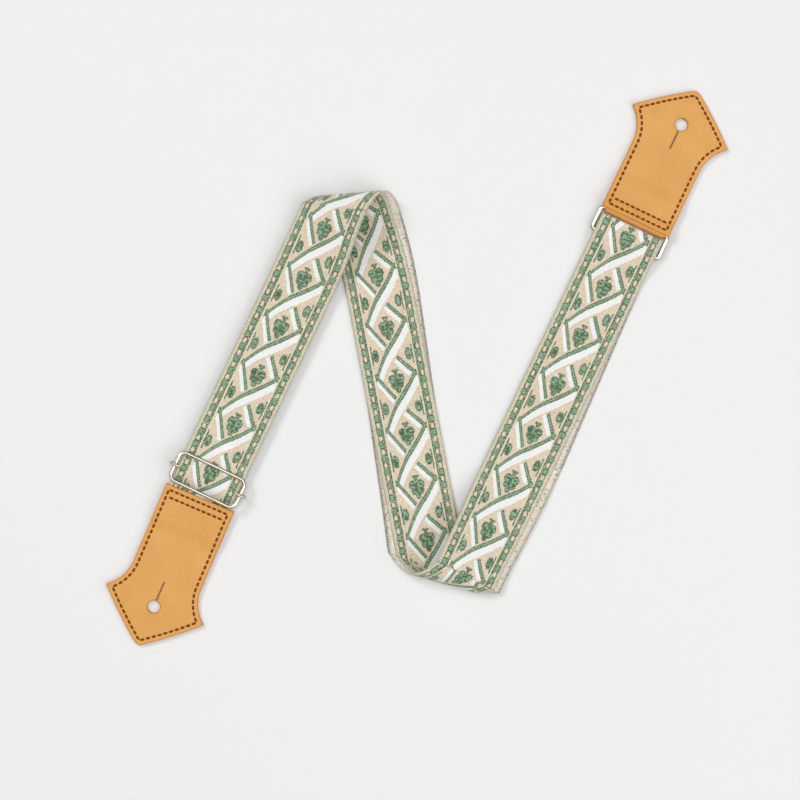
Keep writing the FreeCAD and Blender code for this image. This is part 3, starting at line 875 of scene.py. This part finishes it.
def bight_bars():
    """Up off the third leg, round the ring's lower bar and back under."""
    origin = RING_BAR * (1, 1, 0)
    reach = BIGHT_INNER - HALF_GAP
    bars = []
    for i in range(13):
        share = i / 12
        bars.append(cross_bar(origin, -CLIMB + (CLIMB - BIGHT_LEVEL_OFF) * share,
                              eased(FLOOR_MIDDLE, RING_BAR[2] + reach, share)))
    for i in range(17):
        turn = math.pi * i / 16
        normal = LEG * math.sin(turn) + UP * math.cos(turn)
        middle, half, _ = cross_bar(origin, BIGHT_REACH, RING_BAR[2])
        bars.append((middle + normal * reach, half, normal))
    bars.append(cross_bar(origin, -CLIMB, FLOOR_MIDDLE, UP * -1))
    return bars


def end_loop_bars():
    """From the slack over the slider's centre bar, round it and back under itself."""
    top = SLIDER_LEVEL_MIDDLE - HALF_GAP - WEB_THICK
    under_top = top - 2 * HALF_GAP
    start, run = LOOP_RISE
    wrap = [(LOOP_REACH, top, 0.0, 1.0), (0.0, top, 0.0, 1.0)]
    for i in range(1, 17):
        turn = math.pi * i / 16
        out, up = -math.sin(turn), math.cos(turn)
        wrap.append((LOOP_INNER * out, BAR_LEVEL + LOOP_INNER * up, out, up))
    for i in range(1, 9):
        wrap.append((start + run * i / 8, eased(WEB_THICK, under_top, i / 8), 0.0, -1.0))
    wrap.append((LOOP_REACH - LOOP_END_BACK, under_top, 0.0, -1.0))
    bars = []
    for u, level, out, up in wrap:
        normal = LEG * out + UP * up
        middle, half, _ = cross_bar(SLIDER, u, level)
        bars.append((middle - normal * HALF_GAP, half, normal))
    return bars


def webbing():
    """Every run of the one strip, from the end in tab B round to the end on the slider."""
    fold_1_front = fold_bars(FOLD_1, FAN_AT_FOLD_1, 0.0, 1)
    fold_2_front = fold_bars(FOLD_2, FAN_AT_FOLD_2, 0.0, 1)
    fold_1_return = fold_bars(FOLD_1, 0.0, 0.0, -1)
    fold_2_return = fold_bars(FOLD_2, 0.0, -FAN_AT_FOLD_2, -1)
    bight = bight_bars()
    start_1, start_2, start_3 = (plan(leg_centre(leg, at), at) for leg, at in REPEAT_STARTS.items())
    fine = {"step": PICK * 0.7, "column": 0.7}
    coarse = {"step": 3.0, "column": 2.5}

    # Each run with a fold has its own place in the pattern. Those between join up with it on both sides.
    run_1, end_1, length_1 = strip("webbing_front_1", anchor_bars() + fold_1_front[::-1], zero=start_1, **fine)
    run_3, end_3, length_3 = strip("webbing_front_3", fold_2_front + bight, zero=start_3, **fine)
    front_2 = leg_2_bars(FAN_AT_FOLD_1, FAN_AT_FOLD_2, 1)
    run_2, _, length_2 = strip("webbing_front_2", front_2, along_start=end_1,
                               along_end=end_3 - length_3, **coarse)
    from_slider = float((fold_1_return[-1][0] - SLIDER) @ LEG) - SKEW - JOINT_BACK
    joint = cross_bar(SLIDER, from_slider, SLIDER_LEVEL_MIDDLE, UP * -1)
    return_2 = fold_2_return[::-1] + leg_2_bars(0.0, 0.0, -1)[-2:0:-1] + fold_1_return + [joint]
    run_5, end_5, length_5 = strip("webbing_return_2", return_2, zero=start_2, **fine)
    run_4, _, length_4 = strip("webbing_return_3", [bight[-1], fold_2_return[-1]], along_start=end_3,
                               along_end=end_5 - length_5, **coarse)
    for piece, nodes in (
        (run_1, ("webbing_anchor_end", "front_leg_1", "front_fold_1")),
        (run_2, ("front_leg_2",)),
        (run_3, ("front_fold_2", "front_leg_3", "ring_bight")),
        (run_4, ("return_leg_3",)),
        (run_5, ("return_fold_2", "return_leg_2", "return_fold_1")),
    ):
        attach(piece, "strap")
        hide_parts(*nodes)

    # The slack: the part of the return layer on leg 1 that shortens as the slider comes along.
    loop_start = cross_bar(SLIDER, LOOP_REACH, SLIDER_LEVEL_MIDDLE, UP * -1)
    slack, end_6, length_6 = strip("webbing_slack", [joint, loop_start], along_start=end_5, **coarse)
    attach(slack, "strap")
    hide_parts("return_leg_1")
    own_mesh(slack)

    loop, _, length_7 = strip("webbing_end", end_loop_bars(), 1.2, 1.5, along_start=end_6)
    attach(loop, "slider_bar")
    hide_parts("webbing_end_loop")


webbing()


# ---------------------------------------------------------------- leather tabs

def soften(path, corner, cut):
    """A path with the corner nearest to a point rounded off, from cut before it to cut after it."""
    at = int(np.argmin(np.linalg.norm(path - corner, axis=1)))
    away = travelled(path)
    before = np.searchsorted(away, away[at] - cut)
    after = min(len(path) - 1, int(np.searchsorted(away, away[at] + cut)))
    share = np.linspace(0, 1, 7)[:, None]
    bend = (1 - share) ** 2 * path[before] + 2 * share * (1 - share) * path[at] + share ** 2 * path[after]
    return np.concatenate([path[:before], bend, path[after + 1:]])


def spaced(path, step):
    """Points evenly along a path."""
    away = travelled(path)
    count = max(2, round(away[-1] / step))
    wanted = np.linspace(0, away[-1], count + 1)
    return np.stack([np.interp(wanted, away, path[:, i]) for i in range(2)], 1)


def tab_outline(tab, foot=0.0):
    """Wide head with two corners and a blunt point, on a straight body, from one foot corner to the other."""
    rise = CORNER_HALF - TAB_HALF
    run = tab["corner"] - tab["waist"]
    radius = (run ** 2 + rise ** 2) / (2 * rise)
    sweep_angle = math.atan2(run, radius - rise)
    points = [(foot, TAB_HALF), (tab["waist"], TAB_HALF)]
    for i in range(1, 25):
        turn = sweep_angle * i / 24
        points.append((tab["waist"] + radius * math.sin(turn), TAB_HALF + radius * (1 - math.cos(turn))))
    corner, tip = np.array(points[-1]), np.array((tab["tip"], 0.0))
    outward = np.array((-(tip - corner)[1], (tip - corner)[0])) / np.linalg.norm(tip - corner)
    for i in range(1, 41):
        share = i / 40
        points.append(tuple(corner + (tip - corner) * share + outward * SIDE_BULGE * 4 * share * (1 - share)))
    half = spaced(np.array(points), 0.4)
    whole = np.concatenate([half, half[::-1][1:] * (1, -1)])
    whole = soften(whole, tip, TIP_ROUND)
    for side in (1, -1):
        whole = soften(whole, corner * (1, side), CORNER_ROUND)
    return spaced(whole, 0.8)


def with_foot(outline, foot, count):
    """A tab's outline closed by points along its foot."""
    return np.concatenate([outline, [[foot, v] for v in np.linspace(-TAB_HALF, TAB_HALF, count)[1:-1]]])


def keyhole(tab):
    """The button hole with its slit, as one closed outline."""
    half_turn = math.asin(SLIT_WIDTH / 2 / HOLE_RADIUS)
    turn = np.linspace(math.pi + half_turn, 3 * math.pi - half_turn, 41)
    hole = np.stack([tab["hole"] + HOLE_RADIUS * np.cos(turn), HOLE_RADIUS * np.sin(turn)], 1)
    end = tab["hole"] - HOLE_RADIUS - SLIT_LENGTH
    slit = np.linspace(hole[-1][0], end, 16)[1:]
    upper = np.stack([slit, np.full(15, SLIT_WIDTH / 2)], 1)
    return np.concatenate([hole, upper, upper[::-1] * (1, -1)])


def distance_to(points, path, closed):
    """Each point's distance from a path."""
    start = path if closed else path[:-1]
    end = np.roll(path, -1, 0) if closed else path[1:]
    nearest = np.full(len(points), np.inf)
    for a, b in zip(start, end):
        line = b - a
        share = np.clip(((points - a) @ line) / max(line @ line, 1e-12), 0, 1)
        nearest = np.minimum(nearest, np.linalg.norm(points - a - share[:, None] * line, axis=1))
    return nearest


def inset(path, amount):
    """A path a set distance inside a closed outline."""
    line = np.roll(path, -1, 0) - np.roll(path, 1, 0)
    inward = np.stack([-line[:, 1], line[:, 0]], 1) / np.linalg.norm(line, axis=1)[:, None]
    area = (path[:, 0] * np.roll(path[:, 1], -1) - np.roll(path[:, 0], -1) * path[:, 1]).sum()
    moved = path + inward * (amount if area > 0 else -amount)
    return moved[distance_to(moved, path, True) > abs(amount) * 0.99]


def inside_outline(points, outline):
    """Which points are inside a closed outline."""
    found = np.zeros(len(points), bool)
    x, y = points[:, 0], points[:, 1]
    for a, b in zip(outline, np.roll(outline, -1, 0)):
        crosses = (a[1] > y) != (b[1] > y)
        with np.errstate(divide="ignore", invalid="ignore"):
            at = a[0] + (y - a[1]) * (b[0] - a[0]) / (b[1] - a[1])
        found ^= crosses & (x < at)
    return found


def level_at(profile, u):
    return np.interp(u, [p[0] for p in profile], [p[1] for p in profile])


def foot_seam():
    """The second row of stitching, across a tab's foot."""
    row_half = TAB_HALF - EDGE_INSET - 2
    return [np.array([(FOOT_ROW, -row_half), (FOOT_ROW, row_half)])]


def edge_seam(tab):
    """The line of stitching round a tab, as straight or gently curved runs between corners."""
    foot_corner = np.array((EDGE_INSET, TAB_HALF - EDGE_INSET))
    head_corner = np.array((tab["corner"] - 0.5, CORNER_HALF - 4.6))
    corners = [foot_corner, head_corner, (tab["tip"] - 4.4, 0.0), head_corner * (1, -1), foot_corner * (1, -1)]
    seam = inset(with_foot(tab_outline(tab), 0.0, 60), EDGE_INSET)
    seam = np.roll(seam, -int(np.argmin(np.linalg.norm(seam - foot_corner, axis=1))), 0)
    cuts = sorted(int(np.argmin(np.linalg.norm(seam - c, axis=1))) for c in corners) + [len(seam)]
    seam = np.concatenate([seam, seam[:1]])
    return [seam[a:b + 1] for a, b in zip(cuts, cuts[1:])]


def stitch_places(runs):
    """(middle, direction) of each stitch."""
    found = []
    for run in runs:
        length = travelled(run)[-1]
        count = max(1, round(length / STITCH_PITCH))
        points = spaced(run, length / (2 * count))
        for i in range(count):
            line = points[2 * i + 2] - points[2 * i]
            found.append((points[2 * i + 1], line / np.linalg.norm(line)))
    return found


def tab_matrix(origin, heading):
    """From a tab's own axes to the strap's."""
    u, v = turned(heading), turned(heading + 90)
    return lambda points: origin + points[:, :1] * u + points[:, 1:2] * v + points[:, 2:3] * UP


RIM_RINGS = (0.15, 0.4, 0.8)
HOLE_RING = 0.5
PLAIN_STEP = 2.5
STITCHED_STEP = 1.3
STITCH_PATCH = {"along": 2.6, "aside": 1.4}
FINE_ALONG = np.linspace(-2.2, 2.2, 10)
FINE_ASIDE = (-0.9, -0.45, 0.0, 0.45, 0.9)
CLEAR_OF_RIM = 1.2
CLEAR_OF_HOLE = 0.9
ROUND_TOP = 0.55
ROUND_LOW = 0.3
HOLE_END = 1.05


def beside(line):
    return np.array((-line[1], line[0]))


def sheet_points(outer, hole, foot, tip, places):
    """Points over a leather inside its outline: a plain grid, closer round each stitch and along the edges."""
    step = STITCHED_STEP if places else PLAIN_STEP
    u, v = np.meshgrid(np.arange(foot, tip, step), np.arange(-CORNER_HALF, CORNER_HALF, step), indexing="ij")
    v = v + (np.arange(u.shape[0]) % 2)[:, None] * step / 2
    grid = np.stack([u.ravel(), v.ravel()], 1)
    if places:
        near = [middle + line * a + beside(line) * b
                for middle, line in places for a in FINE_ALONG for b in FINE_ASIDE]
        far = np.ones(len(grid), bool)
        for middle, line in places:
            offset = grid - middle
            far &= ~((np.abs(offset @ line) < STITCH_PATCH["along"])
                     & (np.abs(offset @ beside(line)) < STITCH_PATCH["aside"]))
        grid = np.concatenate([grid[far], near])
    clear = (distance_to(grid, outer, True) > CLEAR_OF_RIM) & (distance_to(grid, hole, True) > CLEAR_OF_HOLE)
    grid = grid[inside_outline(grid, outer) & ~inside_outline(grid, hole) & clear]
    found = np.concatenate([inset(outer, depth) for depth in RIM_RINGS] + [inset(hole, -HOLE_RING), grid])
    return found[~inside_outline(found, hole)]


def triangulated(outer, hole, others):
    """The flat sheet's points and its triangles, which all turn the same way."""
    edges, start = [], 0
    for loop in (outer, hole):
        count = len(loop)
        edges += [(start + i, start + (i + 1) % count) for i in range(count)]
        start += count
    flat = np.concatenate([outer, hole, others])
    flat, _, triangles, *_ = geometry.delaunay_2d_cdt([Vector(p) for p in flat], edges, [], 0, 1e-5)
    flat = np.array([tuple(p) for p in flat])
    triangles = np.array(triangles)
    centres = flat[triangles].mean(1)
    triangles = triangles[inside_outline(centres, outer) & ~inside_outline(centres, hole)]
    a, b, c = (flat[triangles[:, i]] for i in range(3))
    turns_back = (b - a)[:, 0] * (c - a)[:, 1] < (b - a)[:, 1] * (c - a)[:, 0]
    triangles[turns_back] = triangles[turns_back][:, ::-1]
    return flat, triangles


def rounded(rim, radius):
    """How far a face has dropped at a distance from its rim."""
    return radius * (1 - np.sqrt(1 - np.clip(1 - rim / radius, 0, 1) ** 2))


def leather_sheet(name, tab, foot, place, under, stitched):
    """One cut leather: both faces, a rounded rim, the hole and slit, and dents where the stitches pull."""
    outer = with_foot(tab_outline(tab, foot), foot, 70)
    hole = keyhole(tab)
    runs = edge_seam(tab) + foot_seam() if stitched else []
    places = stitch_places(runs)
    flat, triangles = triangulated(outer, hole, sheet_points(outer, hole, foot, tab["tip"], places))

    rim = np.minimum(distance_to(flat, outer, True), distance_to(flat, hole, True))
    seam = np.full(len(flat), FAR_FROM_SEAM)
    for middle, line in places:
        for side in (-1, 1):
            seam = np.minimum(seam, np.linalg.norm(flat - (middle + line * side * HOLE_END), axis=1))
    groove = np.full(len(flat), FAR_FROM_SEAM)
    for run in runs:
        groove = np.minimum(groove, distance_to(flat, run, False))
    # The stitches pull a groove along the seam and a dent at each hole, and the leather swells beside them.
    base = under(flat[:, 0])
    top = base + LEATHER - rounded(rim, ROUND_TOP)
    top = top - GROOVE_DEPTH * np.clip(1 - groove / GROOVE_REACH, 0, 1) ** 2
    top = top - DENT_DEPTH * np.clip(1 - seam / DENT_REACH, 0, 1) ** 1.5
    top = top + SWELL * np.exp(-((groove - SWELL_AT) / SWELL_REACH) ** 2)
    low = base + rounded(rim, ROUND_LOW)
    count = len(flat)
    both = np.concatenate([np.column_stack([flat, top]), np.column_stack([flat, low])])
    faces = triangles.tolist() + (triangles[:, ::-1] + count).tolist()
    directed = {(a, b) for t in triangles.tolist() for a, b in zip(t, t[1:] + t[:1])}
    faces += [[b, a, a + count, b + count] for a, b in directed if (b, a) not in directed]
    piece = new_object(name, place(both), faces)
    add_uv(piece, "wear_and_shade", np.concatenate([rim, rim * 0]), np.concatenate([seam, seam * 0 + FAR_FROM_SEAM]))
    use(piece, LEATHER_TOP)
    return piece


def sewn(name, paths, radius):
    """One object of short threads, along paths that all have as many points."""
    points, faces = [], []
    for path in paths:
        ring, ring_faces = sweep(path, radius, False, 8)
        faces += [[i + len(points) * len(ring) for i in face] for face in ring_faces]
        points.append(ring)
    piece = new_object(name, np.concatenate(points), faces)
    use(piece, THREAD)
    return piece


def stitching(name, runs, place, top):
    """Thread stitches: each one rises out of its hole, lies on the leather and goes down again."""
    share = np.linspace(-1, 1, STITCH_POINTS)
    paths = []
    for middle, line in stitch_places(runs):
        at = middle + line * (share * STITCH_LENGTH / 2)[:, None]
        paths.append(place(np.column_stack([at, top(at[:, 0]) - STITCH_SUNK - STITCH_DIVE * share ** 8])))
    return sewn(name, paths, STITCH_RADIUS * (0.62 + 0.38 * (1 - share ** 4)))


def tabs():
    """Both tabs. A profile gives how high the front leather's lower face is, by distance from the foot."""
    over_bar = RING_BAR[2] + TONGUE_INNER + SETTLED
    over_web = SETTLED + WEB_THICK + LEATHER_GAP
    profile_a = [(0.0, over_bar), (10.5, SETTLED * 2), (22.5, SETTLED * 2), (32.0, SETTLED)]
    profile_b = [(0.0, over_web), (25.5, over_web), (34.0, SETTLED)]
    origin_b = SLIDER + LEG * TAB_B_FOOT + RIGHT * TAB_B_ASIDE
    for letter, tab, profile, origin, heading, back_foot, body in (
        ("a", TAB_A, profile_a, TAB_BAR * (1, 1, 0), HEADING, BACK_FOOT, "tab_a"),
        ("b", TAB_B, profile_b, origin_b, HEADING + 180 + TAB_B_TURN, 0.0, "strap"),
    ):
        place = tab_matrix(origin, heading)
        front_under = lambda u, profile=profile: level_at(profile, u)
        front_top = lambda u, profile=profile: level_at(profile, u) + LEATHER - GROOVE_DEPTH
        front = leather_sheet(f"leather_front_{letter}", tab, 0.0, place, front_under, True)
        back = leather_sheet(f"leather_back_{letter}", tab, back_foot, place, lambda u: u * 0.0, False)
        edge = stitching(f"stitches_edge_{letter}", edge_seam(tab), place, front_top)
        rows = stitching(f"stitches_foot_{letter}", foot_seam(), place, front_top)
        for piece, node in ((front, "front"), (back, "back"),
                            (edge, "edge_stitching"), (rows, "foot_stitching")):
            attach(piece, body)
            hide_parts(f"tab_{letter}_{node}")
        if letter == "a":
            tongue(place)


def tongue(place):
    """The back leather's tongue, round the ring's upper bar and back between the leathers."""
    level = RING_BAR[2]
    low, high = level - TONGUE_INNER, level + TONGUE_INNER
    stations = [(TONGUE_FOOT, low, 0.0, -1.0), (4.0, low, 0.0, -1.0)]
    for i in range(25):
        turn = math.pi * i / 24
        out, up = -math.sin(turn), -math.cos(turn)
        stations.append((TONGUE_INNER * out, level + TONGUE_INNER * up, out, up))
    stations += [(5.0, high - 0.4, 0.0, 1.0), (10.0, SETTLED, 0.0, 1.0), (TONGUE_END, SETTLED, 0.0, 1.0)]
    v = np.linspace(-TONGUE_HALF, TONGUE_HALF, 40)
    from_edge = TONGUE_HALF - np.abs(v)
    rounding = rounded(from_edge, 0.5)
    rows = []
    for u, z, out, up in stations:
        outer = np.stack([u + out * (LEATHER - rounding), v, z + up * (LEATHER - rounding)], 1)
        inner = np.stack([u + out * rounding, v, z + up * rounding], 1)[::-1]
        rows.append(np.concatenate([outer, inner]))
    columns = len(rows[0])
    points = place(np.concatenate(rows))
    faces = facing_out(points, grid_faces(len(rows), columns, False, True))
    piece = new_object("leather_tongue_a", points, faces.tolist() + end_caps(len(points), columns))
    # Where it is stretched round the bar, the rim's darker orange is painted on as shade.
    edge = np.concatenate([from_edge, from_edge[::-1]])
    shaded_bend = np.array([0.2 + 1.3 * (1 + min(0.0, out)) for _, _, out, _ in stations])
    rim = np.minimum(edge[None, :], shaded_bend[:, None])
    add_uv(piece, "wear_and_shade", rim, np.full(rim.shape, FAR_FROM_SEAM))
    use(piece, LEATHER_TOP)
    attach(piece, "tab_a")


tabs()


# ---------------------------------------------------------------- wire parts

def rounded_loop(origin, half_width, near, far, corner, level):
    """Points round a level loop with rounded corners, square to the strap."""
    points = []
    for v, u, start in ((half_width - corner, far - corner, 0), (corner - half_width, far - corner, 90),
                        (corner - half_width, near + corner, 180), (half_width - corner, near + corner, 270)):
        for i in range(13):
            turn = math.radians(start + 90 * i / 12)
            points.append(origin + RIGHT * (v + corner * math.cos(turn)) + LEG * (u + corner * math.sin(turn))
                          + UP * level)
    return np.array(points)


def hooked_bar():
    """Points along the slider's centre bar, from the end of one hook to the end of the other."""
    points = [SLIDER + RIGHT * v + UP * BAR_LEVEL for v in np.linspace(-HOOK_START, HOOK_START, 9)]
    sweep_angle = math.radians(HOOK_END + 90)
    for i in range(1, 19):
        turn = -math.pi / 2 + sweep_angle * i / 18
        reach = HOOK_START + HOOK_RADIUS * math.cos(turn)
        level = BAR_LEVEL + HOOK_RADIUS + HOOK_RADIUS * math.sin(turn)
        points.append(SLIDER + RIGHT * reach + UP * level)
        points.insert(0, SLIDER - RIGHT * reach + UP * level)
    return np.array(points)


def wires():
    bars_apart = float((TAB_BAR - RING_BAR) @ LEG)
    half = FRAME_BARS_APART / 2
    ring = rounded_loop(RING_BAR * (1, 1, 0), RING_HALF_WIDTH, 0.0, bars_apart, RING_CORNER, RING_BAR[2])
    loop = rounded_loop(SLIDER, FRAME_HALF_WIDTH, -half, half, FRAME_CORNER, FRAME_LEVEL)
    for name, path, radius, closed in (
        ("ring", ring, RING_WIRE, True),
        ("slider_frame", loop, FRAME_WIRE, True),
        ("slider_bar", hooked_bar(), BAR_WIRE, False),
    ):
        piece = new_object(f"{name}_wire", *sweep(path, radius, closed))
        use(piece, WIRE)
        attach(piece, name)
        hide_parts(name)


wires()


def tack():
    """The rows that sew the webbing's end back to itself under the slider."""
    level = SLIDER_LEVEL_MIDDLE - 3 * HALF_GAP - 2 * WEB_THICK
    share = np.linspace(-1, 1, STITCH_POINTS)
    drop = 0.12 * (1 - share ** 4) - 0.4 * share ** 8
    paths = []
    for row in LOOP_ROWS:
        for i in range(TACKS):
            v = (i - (TACKS - 1) / 2) * STITCH_PITCH
            paths.append([SLIDER + LEG * row + RIGHT * (v + s * TACK_HALF) + UP * (level - d)
                          for s, d in zip(share, drop)])
    piece = sewn("stitches_end", paths, TACK_RADIUS)
    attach(piece, "slider_bar")
    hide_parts("end_loop_stitching")


tack()


# ---------------------------------------------------------------- floor, light and camera, in metres and watts

FLOOR_HALF = 12.0
FLOOR_COLOUR = colour(235, 235, 234)
SKY_LOW = (0.10, 0.10, 0.11, 1.0)
SKY_HIGH = (1.0, 1.0, 1.0, 1.0)
BACKDROP = (1.9, 1.9, 1.9, 1.0)
SKY_STRENGTH = 0.45
LIGHTS = (
    ("key", (-2.6, 2.2, 3.2), 1.5, 76.0),
    ("fill", (2.4, -1.6, 2.4), 2.6, 50.0),
    ("overhead", (0.2, 0.1, 3.4), 2.2, 32.0),
)
CAMERA_AT = (-0.0127, -0.0239, 1.6)
VIEW_WIDTH = 0.6


def lay_floor():
    half = FLOOR_HALF / MM
    floor = new_object("floor", [(-half, -half, 0), (half, -half, 0), (half, half, 0), (-half, half, 0)],
                       [(0, 1, 2, 3)], False)
    made = Material("floor")
    made.shader.inputs["Base Color"].default_value = FLOOR_COLOUR
    made.shader.inputs["Roughness"].default_value = 0.9
    use(floor, made.material)


def light_sky():
    """Soft light from above that darkens towards the horizon. The camera sees a pale backdrop instead."""
    world = bpy.data.worlds.new("studio")
    world.use_nodes = True
    nodes, links = world.node_tree.nodes, world.node_tree.links
    split = nodes.new("ShaderNodeSeparateXYZ")
    links.new(nodes.new("ShaderNodeTexCoord").outputs["Generated"], split.inputs[0])
    ramp = nodes.new("ShaderNodeValToRGB")
    low, high = ramp.color_ramp.elements
    low.position, low.color = 0.05, SKY_LOW
    high.position, high.color = 0.75, SKY_HIGH
    links.new(split.outputs[2], ramp.inputs[0])
    backdrop = nodes.new("ShaderNodeMix")
    backdrop.data_type = "RGBA"
    links.new(nodes.new("ShaderNodeLightPath").outputs["Is Camera Ray"], backdrop.inputs[0])
    links.new(ramp.outputs[0], backdrop.inputs[6])
    backdrop.inputs[7].default_value = BACKDROP
    links.new(backdrop.outputs[2], nodes["Background"].inputs["Color"])
    nodes["Background"].inputs["Strength"].default_value = SKY_STRENGTH
    bpy.context.scene.world = world


def hang_lights():
    for name, place, size, power in LIGHTS:
        light = bpy.data.lights.new(name, "AREA")
        light.size = size
        light.energy = power
        lamp = bpy.data.objects.new(name, light)
        lamp.location = place
        lamp.rotation_mode = "QUATERNION"
        lamp.rotation_quaternion = Vector(place).to_track_quat("Z", "Y")
        bpy.context.scene.collection.objects.link(lamp)


def set_camera():
    """Straight above, where the photograph is taken from, with VIEW_WIDTH of the floor across the picture."""
    camera = bpy.data.cameras.new("camera")
    seat = bpy.data.objects.new("camera", camera)
    bpy.context.scene.collection.objects.link(seat)
    seat.location = CAMERA_AT
    camera.lens = camera.sensor_width * CAMERA_AT[2] / VIEW_WIDTH
    bpy.context.scene.camera = seat


lay_floor()
light_sky()
hang_lights()
bpy.context.scene.view_settings.view_transform = "Standard"
set_camera()
